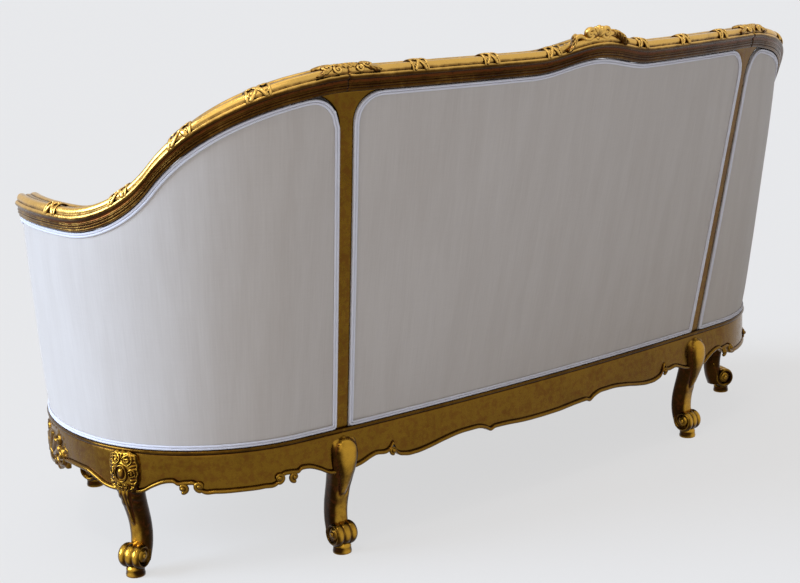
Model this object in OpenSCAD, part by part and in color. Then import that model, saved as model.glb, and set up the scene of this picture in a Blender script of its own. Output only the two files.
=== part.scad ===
// Cabriole sofa with a carved show-wood frame, seen as a basket in plan: the back, the
// wings and the arms are one curved wall that stands on curved seat rails and eight legs.
// The floor is z = 0, the sofa faces -Y, and the sitter's left is +X.

/* [Seat plan] */
// Width of the seat frame at its widest
seat_width = 1955; // [1850:5:2100]
// Radius of the almost straight back
back_radius = 8400; // [7600:100:9500]
// Radius of the rounded back corners
corner_radius = 330; // [300:5:360]
// Radius of the sides
side_radius = 485; // [465:5:510]
// Direction that the wall faces where the corner passes into the side, in degrees
side_heading = 85; // [82:1:88]
// Direction that the side faces at the front corner legs, in degrees
front_heading = 152.4; // [150:0.2:154]
// How far the front rail bows out at its middle
front_bow = 35; // [20:1:50]

/* [Heights] */
// Height of the top edge of the seat rails
seat_rail_top = 279; // [265:1:290]
// Height of the top of the crest rail
crest_top = 1033; // [1000:1:1060]
// Height of the top of the arm rails
arm_top = 770; // [755:1:790]
// Rise of the crest rail at its middle
crest_hump = 22; // [10:1:30]
// Half width of the crest rail's rise
hump_reach = 175; // [150:5:220]

/* [Wall shape] */
// Outward slope of the back at its middle, as run over rise
back_slope = 0.243; // [0.2:0.005:0.27]
// Outward slope of the arms, as run over rise
arm_slope = 0.072; // [0.05:0.002:0.09]
// Way along the wall over which the slope passes from back to arm
slope_run = 1300; // [1200:10:1400]
// Way along the wall from the middle to where the crest starts to sweep down
sweep_start = 600; // [585:5:620]
// Way along the wall that the sweep down to the arm takes
sweep_run = 515; // [490:5:540]
// Radius of the sweep's upper, outward curve
shoulder_radius = 408; // [380:2:430]

/* [Places along the wall] */
// From the middle to the back legs and the feet of the back posts
back_leg_way = 564; // [550:2:580]
// From the middle to the side legs
side_leg_way = 1040; // [1020:2:1060]
// From the middle of the back to the feet of the arm supports
arm_support_way = 1490; // [1475:5:1505]
// From the middle of the front to the middle front legs
front_leg_way = 245; // [220:5:270]
// Way that a back post leans sideways between seat rail and crest rail
post_splay = 42; // [30:1:50]

/* [Frame sections] */
// Depth of a seat rail, top edge to lowest edge
rail_depth = 97; // [90:1:105]
// Thickness of a seat rail behind the wall line
rail_back = 28; // [24:1:32]
// How far a seat rail's face stands proud of the wall line
rail_face = 4; // [2:0.5:6]
// How far the seat rail's beads stand proud of its face
rail_bead = 4; // [2:0.5:5]
// Height of the seat rail's beads
rail_bead_height = 9; // [7:0.5:11]
// Visible width of a back post
post_width = 31; // [27:1:35]
// Width of a back post behind the fabric
post_base_width = 62; // [56:1:70]
// Height of the crest and arm moulding
moulding_height = 49; // [44:1:54]
// Depth of the crest and arm moulding
moulding_depth = 60; // [54:1:66]
// How far the moulding stands proud of the wall line
moulding_proud = 14; // [11:1:16]
// Width of an arm support
support_width = 46; // [40:1:50]
// Way that an arm support sweeps back from seat rail to arm
support_sweep = 153; // [140:1:160]

/* [Legs] */
// Drop from the top edge of the seat rails to the top of the knees
knee_drop = 17; // [16:1:29]
// Width of a leg at the knee
knee_width = 66; // [60:1:72]
// Depth of a leg at the knee
knee_depth = 48; // [44:1:48]
// Width of a leg at the ankle
ankle_width = 45; // [40:1:50]
// Depth of a leg at the ankle
ankle_depth = 42; // [38:1:46]
// Radius of the scroll at the foot
scroll_radius = 27; // [24:0.5:29]
// Height of the turned pad under the scroll
pad_height = 17; // [14:1:20]
// Radius of the turned pad
pad_radius = 20; // [18:0.5:23]

/* [Upholstery] */
// Thickness of an outside panel
panel_thickness = 5; // [4:0.5:6]
// Rise of an outside panel at its middle
panel_crown = 5; // [2:0.5:8]
// Radius of a panel's upper corners
panel_corner = 62; // [50:1:70]
// Width of the double welt round each outside panel
welt_width = 10; // [8:0.5:12]
// Height of the double welt over the panel
welt_height = 4.5; // [3.5:0.5:5]
// Thickness of the inside padding at its edges
pad_edge = 12; // [8:1:16]
// Rise of the inside padding at its middle
pad_crown = 42; // [30:1:50]
// Height of the sprung seat over the seat rails, at its edge
deck_height = 56; // [46:1:64]
// Thickness of the seat cushion at its border
cushion_border = 88; // [76:1:100]
// Rise of the cushion's top at its middle
cushion_crown = 20; // [12:1:26]

/* [Seat springs] */
// Number of springs in each of the two rows
spring_count = 5; // [4:1:6]
// Outer radius of a spring at its ends
spring_radius = 42; // [36:1:48]
// Diameter of the spring wire
spring_wire = 4; // [3.5:0.5:5]
// Turns in a spring
spring_turns = 3; // [3:1:4]

/* [Hidden] */

// Gaps and cutting values
flat_gap = 0.3;
layer_gap = 0.8;
curve_gap = 1.7;
seam_gap = 1.2;
overrun = 2;
fine_sides = 48;
coarse_sides = 12;
degree = 180 / PI;
leg_height = seat_rail_top - knee_drop;

// How far the knees and the crest's ornament stand proud of the rails that carry them
knee_proud = 12;
ornament_proud = 8;

gold = "#b8862e";
dark_gold = "#8a6420";
raw_beech = "#c9a678";
linen = "#d5d0c8";
white_welt = "#efedf2";
jute = "#a88a5a";
black_cloth = "#2b2b2b";
spring_steel = "#8a8f94";

// Small general functions
function smooth(t) = let (c = min(max(t, 0), 1)) c * c * (3 - 2 * c);
function mix(a, b, t) = a + (b - a) * t;
function steps(a, b, n) = [for (i = [0:n]) a + (b - a) * i / n];
function facing(angle) = [sin(angle), cos(angle)];
function bulge(t, power) = 1 - pow(abs(2 * t - 1), power);
function flip(list) = [for (i = [len(list) - 1:-1:0]) list[i]];

// The plan line of the seat frame: arcs of the back, the corner, the side and the front
side_centre_x = seat_width / 2 - side_radius;
corner_centre_x = side_centre_x + (side_radius - corner_radius) * sin(side_heading);
corner_heading = asin(corner_centre_x / (back_radius - corner_radius));
corner_way = back_radius * corner_heading / degree;
side_way = corner_way + corner_radius * (side_heading - corner_heading) / degree;
front_corner_way = side_way + side_radius * (front_heading - side_heading) / degree;
plan_depth = back_radius - (back_radius - corner_radius) * cos(corner_heading)
    + (side_radius - corner_radius) * cos(side_heading) - side_radius * cos(front_heading);
// The origin is on the floor, midway between the crest's back and the front legs' knees
back_reach = back_slope * (crest_top + crest_hump - seat_rail_top) + moulding_proud + ornament_proud;
front_reach = plan_depth + front_bow + rail_face + rail_bead + knee_proud;
back_line_y = (front_reach - back_reach) / 2;
back_centre = [0, back_line_y - back_radius];
corner_centre = back_centre + (back_radius - corner_radius) * facing(corner_heading);
side_centre = corner_centre - (side_radius - corner_radius) * facing(side_heading);
front_corner = side_centre + side_radius * facing(front_heading);
front_radius = (pow(front_corner.x, 2) + pow(front_bow, 2)) / (2 * front_bow);
front_centre = [0, front_corner.y - front_bow + front_radius];
front_half_angle = asin(front_corner.x / front_radius);
front_half_way = front_radius * front_half_angle / degree;
corner_turn = 180 - front_half_angle - front_heading;

function heading(way) = way < corner_way ? way / back_radius * degree
    : way < side_way ? corner_heading + (way - corner_way) / corner_radius * degree
    : side_heading + (way - side_way) / side_radius * degree;
function plan_point(way) = way < corner_way ? back_centre + back_radius * facing(heading(way))
    : way < side_way ? corner_centre + corner_radius * facing(heading(way))
    : side_centre + side_radius * facing(heading(way));
function wall_slope(way) = mix(back_slope, arm_slope, smooth(abs(way) / slope_run));

// A point of the wall: way along the plan line, height, and distance out of the wall line
function wall_point(way, z, out) =
    let (a = abs(way), rise = max(z - seat_rail_top, 0),
         p = plan_point(a) + facing(heading(a)) * (out + wall_slope(a) * rise))
    [way < 0 ? -p.x : p.x, p.y, z];
function wall_ring(way, section) = [for (p = section) wall_point(way, p[1], p[0])];

// A point of the front rail: way from its middle, height, and distance out
function front_point(way, z, out) =
    let (angle = 180 - way / front_radius * degree, p = front_centre + (front_radius + out) * facing(angle))
    [p.x, p.y, z];

function front_ring(way, section) = [for (p = section) front_point(way, p[1], p[0])];

// The ring where a side rail and the front rail meet in a mitre
mitre_facing = facing(front_heading + corner_turn / 2) / cos(corner_turn / 2);
function mitre_ring(section) = [for (p = section)
    [front_corner.x + mitre_facing.x * p[0], front_corner.y + mitre_facing.y * p[0], p[1]]];

// Heights of the crest and arm rail along the wall
sweep_drop = crest_top - arm_top;
sweep_radii = (pow(sweep_run, 2) + pow(sweep_drop, 2)) / (2 * sweep_drop);
sweep_angle = asin(sweep_run / sweep_radii);
arm_sweep_radius = sweep_radii - shoulder_radius;
sweep_middle = sweep_start + shoulder_radius * sin(sweep_angle);
sweep_end = sweep_start + sweep_run;
function hump(way) = abs(way) < hump_reach ? crest_hump * pow(cos(90 * way / hump_reach), 2) : 0;
function rail_height(way) =
    let (a = abs(way))
    a < sweep_start ? crest_top + hump(way)
    : a < sweep_middle ? crest_top - shoulder_radius + sqrt(pow(shoulder_radius, 2) - pow(a - sweep_start, 2))
    : a < sweep_end ? arm_top + arm_sweep_radius - sqrt(pow(arm_sweep_radius, 2) - pow(sweep_end - a, 2))
    : arm_top;
function moulding_bottom(way) = rail_height(way) - moulding_height;

// Where the posts stand at each height, and the arm supports with their back and front edges
support_bottom = seat_rail_top + flat_gap;
support_top = arm_top - moulding_height - flat_gap;
support_hollow = 14;
arm_tip_reach = 12;
arm_tip_way = arm_support_way - support_sweep + support_width / 2 + arm_tip_reach;
function support_rise(z) = min(max((z - support_bottom) / (support_top - support_bottom), 0), 1);
function support_way(z) = arm_support_way - support_sweep * support_rise(z);
function support_start_way(z) = support_way(z) - support_width / 2;
function support_front_way(z) = support_way(z) + support_width / 2
    - support_hollow * sin(180 * support_rise(z));
function post_way(z) = back_leg_way + post_splay * (z - seat_rail_top) / (crest_top - seat_rail_top);

// Triangles that close a ring: a chain of points first, then the two corners behind it
function corner_cap(n, turn) = concat(
    [for (j = [0:1:turn - 1]) [n - 1, j, j + 1]],
    [[n - 1, turn, n - 2]],
    [for (j = [turn:1:n - 4]) [n - 2, j, j + 1]]);
// Triangles that close a ring whose second half mirrors its first
function mirrored_cap(n) = [for (j = [0:n / 2 - 2])
    each [[j, j + 1, n - 1 - j], [j + 1, n - 2 - j, n - 1 - j]]];

// A closed solid through rings of points; each loop turns left seen from the last ring's end
module skin(rings, cap = [], closed = false) {
    n = len(rings[0]);
    count = len(rings);
    last = closed ? count - 1 : count - 2;
    sides = [for (i = [0:last], j = [0:n - 1])
        let (a = i * n + j, b = ((i + 1) % count) * n + j,
             c = ((i + 1) % count) * n + (j + 1) % n, d = i * n + (j + 1) % n)
        each [[a, b, c], [a, c, d]]];
    flat = len(cap) > 0 ? cap : [[for (j = [0:n - 1]) j]];
    far = [for (face = flat) [for (j = flip(face)) (count - 1) * n + j]];
    polyhedron(
        points = [for (ring = rings) each ring],
        faces = concat(sides, closed ? [] : concat(flat, far)),
        convexity = 10);
}
bar_cap = corner_cap(4, 0);

// Puts a thing that faces +Y in the wall, on the plan line
module at_wall(way, z = 0) {
    translate(wall_point(way, z, 0))
        rotate([0, 0, -heading(way)])
            children();
}

module at_front(way) {
    p = front_point(way, 0, 0);
    translate(p)
        rotate([0, 0, way / front_radius * degree - 180])
            children();
}

module at_front_corner() {
    translate([front_corner.x, front_corner.y, 0])
        rotate([0, 0, -front_heading - corner_turn / 2])
            children();
}

module both_sides() {
    children();
    mirror([1, 0, 0])
        children();
}

// Seat rails

// Lower edges: share of the way from a rail's middle to its leg, share of the rail's depth
back_edge_shares = [[0, 0.98], [0.15, 0.97], [0.24, 0.92], [0.285, 0.96], [0.33, 0.85], [0.38, 0.8],
    [0.48, 0.84], [0.58, 0.95], [0.665, 1], [0.72, 0.95], [0.76, 0.86], [0.775, 0.62], [0.79, 0.76],
    [0.86, 0.8], [0.94, 0.97], [1, 0.97]];
wing_edge_shares = [[0, 0.95], [0.17, 0.94], [0.34, 0.88], [0.36, 0.76], [0.52, 0.76], [0.54, 0.7],
    [0.64, 0.72], [0.75, 0.83], [0.84, 0.97], [1, 0.97]];
drop_edge_shares = [[0, 1.12], [0.1, 1.08], [0.17, 0.97], [0.25, 0.9], [0.33, 0.8], [0.5, 0.74],
    [0.64, 0.74], [0.75, 0.84], [0.84, 0.97], [1, 0.97]];
wing_boss_shares = [[0.345, 0.72], [0.465, 0.8]];
back_boss_shares = [[0.785, 0.78]];
boss_radius = 10;
boss_proud = 4;

function rail_edge(shares, t) = seat_rail_top - rail_depth * lookup(abs(t), shares);
function rail_section(low) = [
    [rail_face + rail_bead, low],
    [rail_face + rail_bead, low + rail_bead_height / 2],
    [rail_face, low + rail_bead_height],
    [rail_face, seat_rail_top - rail_bead_height - rail_bead],
    [rail_face + rail_bead, seat_rail_top - rail_bead_height],
    [rail_face + rail_bead, seat_rail_top],
    [-rail_back, seat_rail_top],
    [-rail_back, low]];
rail_cap = corner_cap(len(rail_section(0)), 3);
function mirrored_shares(shares) = concat(
    [for (p = flip(shares)) -p[0]],
    [for (p = shares) if (p[0] > 0) p[0]]);

wing_middle = (back_leg_way + side_leg_way) / 2;
wing_half = (side_leg_way - back_leg_way) / 2;
side_middle = (side_leg_way + front_corner_way) / 2;
side_half = (front_corner_way - side_leg_way) / 2;
front_bay_half = (front_half_way - front_leg_way) / 2;
front_bay_middle = (front_half_way + front_leg_way) / 2;

module boss(way, share) {
    at_wall(way)
        translate([0, 0, seat_rail_top - rail_depth * share])
            rotate([-90, 0, 0])
                cylinder(r = boss_radius, h = rail_face + rail_bead + boss_proud, $fn = fine_sides);
}

module back_seat_rail() {
    color(dark_gold)
        difference() {
            union() {
                skin([for (t = mirrored_shares(back_edge_shares))
                    wall_ring(t * back_leg_way, rail_section(rail_edge(back_edge_shares, t)))], rail_cap);
                both_sides()
                    for (p = back_boss_shares)
                        boss(p[0] * back_leg_way, p[1]);
            }
            both_sides()
                at_wall(back_leg_way) {
                    leg_room();
                    post_tenon(flat_gap);
                }
        }
}

module left_wing_seat_rail() {
    color(dark_gold)
        difference() {
            union() {
                skin([for (t = mirrored_shares(wing_edge_shares))
                    wall_ring(wing_middle + t * wing_half, rail_section(rail_edge(wing_edge_shares, t)))],
                    rail_cap);
                for (p = wing_boss_shares, side = [-1, 1])
                    boss(wing_middle + side * p[0] * wing_half, p[1]);
            }
            at_wall(back_leg_way) {
                leg_room();
                post_tenon(flat_gap);
            }
            at_wall(side_leg_way)
                leg_room();
        }
}

module left_side_seat_rail() {
    shares = mirrored_shares(drop_edge_shares);
    color(dark_gold)
        difference() {
            union() {
                skin(concat(
                    [for (i = [0:len(shares) - 2]) wall_ring(side_middle + shares[i] * side_half,
                        rail_section(rail_edge(drop_edge_shares, shares[i])))],
                    [mitre_ring(rail_section(rail_edge(drop_edge_shares, 1)))]), rail_cap);
                at_wall(side_middle)
                    cartouche();
            }
            at_wall(side_leg_way)
                leg_room();
            at_front_corner()
                leg_room();
            support_tenon(flat_gap);
        }
}

module front_seat_rail() {
    bay = mirrored_shares(wing_edge_shares);
    middle = mirrored_shares(drop_edge_shares);
    end_ring = mitre_ring(rail_section(rail_edge(wing_edge_shares, 1)));
    color(dark_gold)
        difference() {
            union() {
                skin(concat(
                    [end_ring],
                    [for (i = [1:len(bay) - 2]) front_ring(front_bay_middle - bay[i] * front_bay_half,
                        rail_section(rail_edge(wing_edge_shares, bay[i])))],
                    [for (t = middle)
                        front_ring(-t * front_leg_way, rail_section(rail_edge(drop_edge_shares, t)))],
                    [for (i = [1:len(bay) - 2]) front_ring(-front_bay_middle - bay[i] * front_bay_half,
                        rail_section(rail_edge(wing_edge_shares, bay[i])))],
                    [[for (p = end_ring) [-p.x, p.y, p.z]]]), rail_cap);
                at_front(0)
                    cartouche();
            }
            both_sides() {
                at_front(front_leg_way)
                    leg_room();
                at_front_corner()
                    leg_room();
            }
        }
}

// Carved cartouche in the middle of a side or front rail
cartouche_radius = 33;
cartouche_proud = 7;
lobe_count = 7;
module cartouche() {
    middle = seat_rail_top - rail_depth * 0.62;
    translate([0, 0, middle])
        rotate([-90, 0, 0]) {
            cylinder(r = cartouche_radius * 0.6, h = rail_face + rail_bead + cartouche_proud,
                $fn = fine_sides);
            for (i = [0:lobe_count - 1])
                rotate([0, 0, i * 360 / lobe_count])
                    translate([cartouche_radius * 0.75, 0, 0])
                        cylinder(r = cartouche_radius / 3, h = rail_face + rail_bead + cartouche_proud / 2,
                            $fn = fine_sides);
        }
}

// Legs

// Height, reach from ankle to knee, and width and depth from ankle to knee
leg_shares = [[0.17, 0.1, 0, 0], [0.28, 0, 0, 0], [0.38, 0.05, 0.03, 0.05], [0.5, 0.28, 0.15, 0.2],
    [0.62, 0.62, 0.42, 0.5], [0.74, 0.92, 0.82, 0.7], [0.84, 1, 1, 1], [0.92, 0.98, 0.9, 0.3],
    [0.97, 0.9, 0.6, -1], [0.995, 0.8, -0.2, -1.6]];
leg_sides = 12;
ankle_set = -36;
knee_set = rail_face + rail_bead + knee_proud - knee_depth / 2;
pad_set = -16;
scroll_width = ankle_width * 1.04;
rib_shares = [[-0.5, 0.72], [-0.44, 0.86], [-0.33, 0.9], [-0.22, 0.84], [-0.16, 0.94], [0, 1],
    [0.16, 0.94], [0.22, 0.84], [0.33, 0.9], [0.44, 0.86], [0.5, 0.72]];
pad_shares = [[0.95, 0], [1, 0.15], [0.95, 0.4], [0.74, 0.75], [0.8, 1.15]];
stump_bottom = seat_rail_top - rail_depth * 0.97;
dowel_radius = 5;
dowel_reach = 28;
dowel_height = seat_rail_top - rail_depth * 0.62;
post_tenon_width = 24;
post_tenon_thickness = 12;
tenon_depth = 32;

module leg_dowel(gap = 0) {
    length = knee_width + 2 * dowel_reach + 2 * gap;
    translate([-length / 2, -rail_back / 2, dowel_height])
        rotate([0, 90, 0])
            cylinder(r = dowel_radius + gap, h = length, $fn = fine_sides);
}

module leg_room() {
    back = rail_back + 4 * overrun;
    depth = back + rail_face + rail_bead + overrun;
    translate([-knee_width / 2 - flat_gap, -back, 0])
        cube([knee_width + 2 * flat_gap, depth, leg_height + flat_gap]);
    leg_dowel(flat_gap);
}

module post_tenon(gap = 0) {
    translate([-post_tenon_width / 2 - gap, -rail_back / 2 - post_tenon_thickness - gap,
        leg_height - tenon_depth - gap])
        cube([post_tenon_width + 2 * gap, post_tenon_thickness + 2 * gap,
            seat_rail_top - leg_height + tenon_depth + overrun]);
}

module leg(carved = true) {
    color(gold)
        difference() {
            union() {
                skin([for (p = leg_shares) leg_ring(p)]);
                translate([-knee_width / 2, -rail_back, stump_bottom])
                    cube([knee_width, rail_back + rail_face, leg_height - stump_bottom]);
                translate([0, pad_set, 0])
                    rotate_extrude($fn = fine_sides)
                        polygon(concat([[0, 0]], [for (p = pad_shares) [p[0] * pad_radius, p[1] * pad_height]],
                            [[0, pad_shares[len(pad_shares) - 1][1] * pad_height]]));
                translate([0, pad_set, pad_height + scroll_radius - overrun])
                    rotate([0, 90, 0])
                        rotate_extrude($fn = fine_sides)
                            polygon(concat([[0, -scroll_width / 2]],
                                [for (p = rib_shares) [p[1] * scroll_radius, p[0] * scroll_width]],
                                [[0, scroll_width / 2]]));
                if (carved)
                    knee_cabochon();
            }
            leg_dowel(flat_gap);
            children();
        }
}

function leg_ring(p) =
    let (z = p[0] * leg_height, y = mix(ankle_set, knee_set, p[1]),
         w = mix(ankle_width, knee_width, p[2]) / 2, d = mix(ankle_depth, knee_depth, p[3]) / 2)
    [for (i = [0:leg_sides - 1])
        let (a = 360 * i / leg_sides)
        [w * cos(a), y + d * sin(a), z]];

module knee_cabochon() {
    translate([0, knee_set + knee_depth / 2 - knee_proud / 2, leg_height * 0.82]) {
        rotate([-90, 0, 0])
            cylinder(r = knee_width / 4, h = knee_proud * 0.6, $fn = fine_sides);
        sphere(r = knee_proud, $fn = fine_sides);
    }
}

module left_back_leg() {
    at_wall(back_leg_way)
        leg(false)
            post_tenon(flat_gap);
}

module left_side_leg() {
    at_wall(side_leg_way)
        leg();
}

module left_front_corner_leg() {
    at_front_corner()
        leg();
}

module left_front_middle_leg() {
    at_front(front_leg_way)
        leg();
}

module leg_dowels() {
    color(raw_beech)
        both_sides() {
            at_wall(back_leg_way)
                leg_dowel();
            at_wall(side_leg_way)
                leg_dowel();
            at_front_corner()
                leg_dowel();
            at_front(front_leg_way)
                leg_dowel();
        }
}

batten_height = 16;
batten_depth = 18;
batten_drop = 57;
batten_bottom = seat_rail_top - batten_drop;

// Blocks glued behind the legs, over the webbing battens
block_reach = 60;
block_depth = 24;
block_bottom = batten_bottom + batten_height + flat_gap;
block_height = 28;
module corner_blocks() {
    outer = -rail_back - seam_gap;
    color(raw_beech)
        both_sides() {
            for (way = [back_leg_way, side_leg_way])
                skin([for (w = steps(way - block_reach, way + block_reach, 4))
                    wall_ring(w, block_section(outer))], bar_cap);
            skin([for (w = steps(front_leg_way + block_reach, front_leg_way - block_reach, 2))
                front_ring(w, block_section(outer))], bar_cap);
            skin([
                wall_ring(front_corner_way - block_reach, block_section(outer)),
                mitre_ring(block_section(outer)),
                front_ring(front_half_way - block_reach, block_section(outer))], bar_cap);
        }
}
function block_section(outer) =
    bar_section(outer - block_depth, outer, block_bottom, block_bottom + block_height);
function bar_section(inner, outer, bottom, top) =
    [[outer, bottom], [outer, top], [inner, top], [inner, bottom]];

// Battens that carry the webbing, between the legs
batten_end = 48;
module webbing_battens() {
    section = bar_section(-rail_back - layer_gap - batten_depth, -rail_back - layer_gap, batten_bottom,
        batten_bottom + batten_height);
    color(raw_beech) {
        skin([for (w = steps(batten_end - back_leg_way, back_leg_way - batten_end, 8)) wall_ring(w, section)],
            bar_cap);
        skin([for (w = steps(front_leg_way - batten_end, batten_end - front_leg_way, 4))
            front_ring(w, section)], bar_cap);
        both_sides() {
            skin([for (w = steps(back_leg_way + batten_end, side_leg_way - batten_end, 10))
                wall_ring(w, section)], bar_cap);
            skin([for (w = steps(side_leg_way + batten_end, front_corner_way - batten_end, 14))
                wall_ring(w, section)], bar_cap);
            skin([for (w = steps(front_half_way - batten_end, front_leg_way + batten_end, 4))
                front_ring(w, section)], bar_cap);
        }
    }
}

// Back posts

frame_thickness = 27;
frame_outer = -panel_thickness - curve_gap;
frame_inner = frame_outer - frame_thickness;
post_bottom = seat_rail_top + flat_gap;
post_top = moulding_bottom(back_leg_way) - flat_gap;
crest_tenon_height = 22;
module crest_post_tenon(gap = 0) {
    at_wall(post_way(post_top), post_top)
        translate([-post_tenon_width / 2 - gap, frame_inner + layer_gap - gap, -overrun])
            cube([post_tenon_width + 2 * gap, post_tenon_thickness + 2 * gap,
                crest_tenon_height + overrun + gap]);
}

// A post widens at its head, round the upper corners of the panels
post_head_shares = [0, 0.3, 0.55, 0.75, 0.88, 0.96, 0.999];
post_cap = [[0, 1, 2], [0, 2, 7], [2, 3, 4], [2, 4, 7], [7, 4, 5], [7, 5, 6]];
function post_half(share) = post_width / 2 - seam_gap + panel_corner * (1 - sqrt(1 - pow(share, 2)));
function post_ring(z, visible) =
    let (base = max(post_base_width / 2, visible + layer_gap),
         t = (z - post_bottom) / (post_top - post_bottom))
    [for (p = [[visible, 0], [-visible, 0], [-visible, frame_outer], [-base, frame_outer],
            [-base, frame_inner], [base, frame_inner], [base, frame_outer], [visible, frame_outer]])
        let (w = post_way(z) + p[0])
        wall_point(w, mix(post_bottom, min(post_top, moulding_bottom(w) - curve_gap), t), p[1])];
module left_back_post() {
    color(dark_gold) {
        skin(concat(
            [for (z = steps(post_bottom, post_top - panel_corner, 5)) post_ring(z, post_half(0))],
            [for (t = post_head_shares) if (t > 0)
                post_ring(post_top - panel_corner * (1 - t), post_half(t))]),
            post_cap);
        at_wall(back_leg_way)
            post_tenon();
        crest_post_tenon();
    }
}

// Crest and arm rails

// Moulding section: share of half its depth, share of its height, from its foot up
moulding_shares = [[0.7, 1], [0.82, 0.84], [0.7, 0.76], [0.92, 0.6], [0.8, 0.52], [1, 0.3], [0.92, 0.08],
    [0.5, 0]];
crest_tie_shares = [0.22, 0.48, 0.75];
arm_tie_shares = [0.201, 0.356, 0.504, 0.727];
// The arm's tip is round in plan: share of half the moulding's depth that each ring lies before it
tip_shares = [1, 0.6, 0.3, 0.1, 0];
least_tip_share = 0.3;
tie_half = 11;
tie_proud = 3;
leaf_half = 32;
crest_joint_way = post_way(crest_top);
crest_dowel_radius = 5;
crest_dowel_length = 70;

function tip_share(way) =
    let (past = max(1 - (arm_tip_way - abs(way)) / (moulding_depth / 2), 0))
    max(sqrt(1 - pow(past, 2)), least_tip_share);
function moulding_section(way, grow = 0) =
    let (top = rail_height(way) + grow, half = moulding_depth / 2 * tip_share(way) + grow,
         middle = moulding_proud - moulding_depth / 2)
    concat(
        [for (p = moulding_shares) [middle + p[0] * half, top - p[1] * (moulding_height + grow)]],
        [for (p = flip(moulding_shares)) [middle - p[0] * half, top - p[1] * (moulding_height + grow)]]);
moulding_cap = mirrored_cap(2 * len(moulding_shares));
// Rings of the moulding at the given ways, swelling into a tie at each place of a [way, half width]
function tie_rings(tie) = [for (t = [[-1, 0], [-0.8, tie_proud], [0.8, tie_proud], [1, 0]])
    [tie[0] + t[0] * tie[1], t[1]]];
function clear_of(way, ties) = min([for (t = ties) abs(way - t[0]) - t[1]]) > tie_half / 2;
function sorted(list) = len(list) < 2 ? list
    : let (pivot = list[floor(len(list) / 2)])
    concat(sorted([for (p = list) if (p[0] < pivot[0]) p]), [for (p = list) if (p[0] == pivot[0]) p],
        sorted([for (p = list) if (p[0] > pivot[0]) p]));
module moulding(ways, ties) {
    places = sorted(concat(
        [for (w = ways) if (clear_of(w, ties)) [w, 0]],
        [for (t = ties) each tie_rings(t)]));
    skin([for (p = places) wall_ring(p[0], moulding_section(p[0], p[1]))], moulding_cap);
}
module crest_dowel(gap = 0) {
    height = crest_top - moulding_height / 2;
    at_wall(crest_joint_way, height)
        translate([-crest_dowel_length / 2 - gap, moulding_proud - moulding_depth / 2, 0])
            rotate([0, 90, 0])
                cylinder(r = crest_dowel_radius + gap, h = crest_dowel_length + 2 * gap, $fn = fine_sides);
}

module crest_rail() {
    ways = concat([-crest_joint_way], steps(-0.85 * crest_joint_way, -hump_reach, 3),
        steps(-hump_reach * 0.8, hump_reach * 0.8, 8), steps(hump_reach, 0.85 * crest_joint_way, 3),
        [crest_joint_way]);
    color(gold)
        difference() {
            union() {
                moulding(ways, [for (t = crest_tie_shares, side = [-1, 1])
                    [side * t * crest_joint_way, tie_half]]);
                crest_ornament();
            }
            both_sides() {
                crest_post_tenon(flat_gap);
                crest_dowel(flat_gap);
            }
        }
}

// Carved rosette, scrolls and shell skirt at the middle of the crest
ornament_radius = 21;
skirt_lobes = 5;
skirt_start = 30;
skirt_turn = 120;
module crest_ornament() {
    face = moulding_proud + ornament_proud;
    at_wall(0, crest_top + crest_hump)
        rotate([-90, 0, 0]) {
            cylinder(r = ornament_radius, h = face, $fn = coarse_sides);
            for (side = [-1, 1])
                translate([side * ornament_radius * 2, ornament_radius / 2, 0])
                    cylinder(r = ornament_radius * 0.7, h = face - ornament_proud / 2, $fn = coarse_sides);
            for (i = [0:skirt_lobes - 1])
                rotate([0, 0, skirt_start + i * skirt_turn / (skirt_lobes - 1)])
                    translate([ornament_radius * 1.3, 0, 0])
                        cylinder(r = ornament_radius * 0.45, h = face - ornament_proud / 4,
                            $fn = coarse_sides);
        }
}

module left_arm_rail() {
    reach = arm_tip_way - crest_joint_way;
    ways = concat([crest_joint_way], steps(sweep_start + tie_half * 3, sweep_end, 16),
        steps(sweep_end + tie_half * 3, arm_tip_way - moulding_depth, 4),
        [for (t = tip_shares) arm_tip_way - t * moulding_depth / 2]);
    color(gold)
        difference() {
            moulding(ways, concat([[crest_joint_way + leaf_half * 1.2, leaf_half]],
                [for (t = arm_tie_shares) [crest_joint_way + t * reach, tie_half]]));
            crest_post_tenon(flat_gap);
            crest_dowel(flat_gap);
            support_top_tenon(flat_gap);
        }
}

module crest_dowels() {
    color(raw_beech)
        both_sides()
            crest_dowel();
}

// Arm supports

support_depth = 40;
support_bead = 8;
support_tenon_width = 22;
support_tenon_thickness = 12;
module support_tenon(gap = 0) {
    at_wall(arm_support_way)
        translate([-support_tenon_width / 2 - gap, -rail_back / 2 - support_tenon_thickness / 2 - gap,
            seat_rail_top - tenon_depth - gap])
            cube([support_tenon_width + 2 * gap, support_tenon_thickness + 2 * gap,
                tenon_depth + overrun + gap]);
}
module support_top_tenon(gap = 0) {
    at_wall(support_way(support_top), support_top)
        translate([-support_tenon_width / 2 - gap, -rail_back / 2 - support_tenon_thickness / 2 - gap,
            -overrun])
            cube([support_tenon_width + 2 * gap, support_tenon_thickness + 2 * gap,
                crest_tenon_height + overrun + gap]);
}
// The outside panel covers a support's outer face up to the gilded bead along its front
module left_arm_support() {
    edge = support_bead / 2;
    heights = concat([for (v = rise_shares) mix(support_bottom, wing_top(1), v)], [support_top]);
    color(gold) {
        skin([for (z = heights)
            let (front = support_front_way(z), back = support_start_way(z))
            [for (p = [[front, -edge], [front - edge, 0], [front - support_bead, 0],
                    [front - support_bead, frame_outer], [back, frame_outer], [back, -support_depth],
                    [front - edge, -support_depth], [front, edge - support_depth]])
                wall_point(p[0], z, p[1])]]);
        support_tenon();
        support_top_tenon();
    }
}

// Tacking rails, which hold the lower edges of the covers

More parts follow.
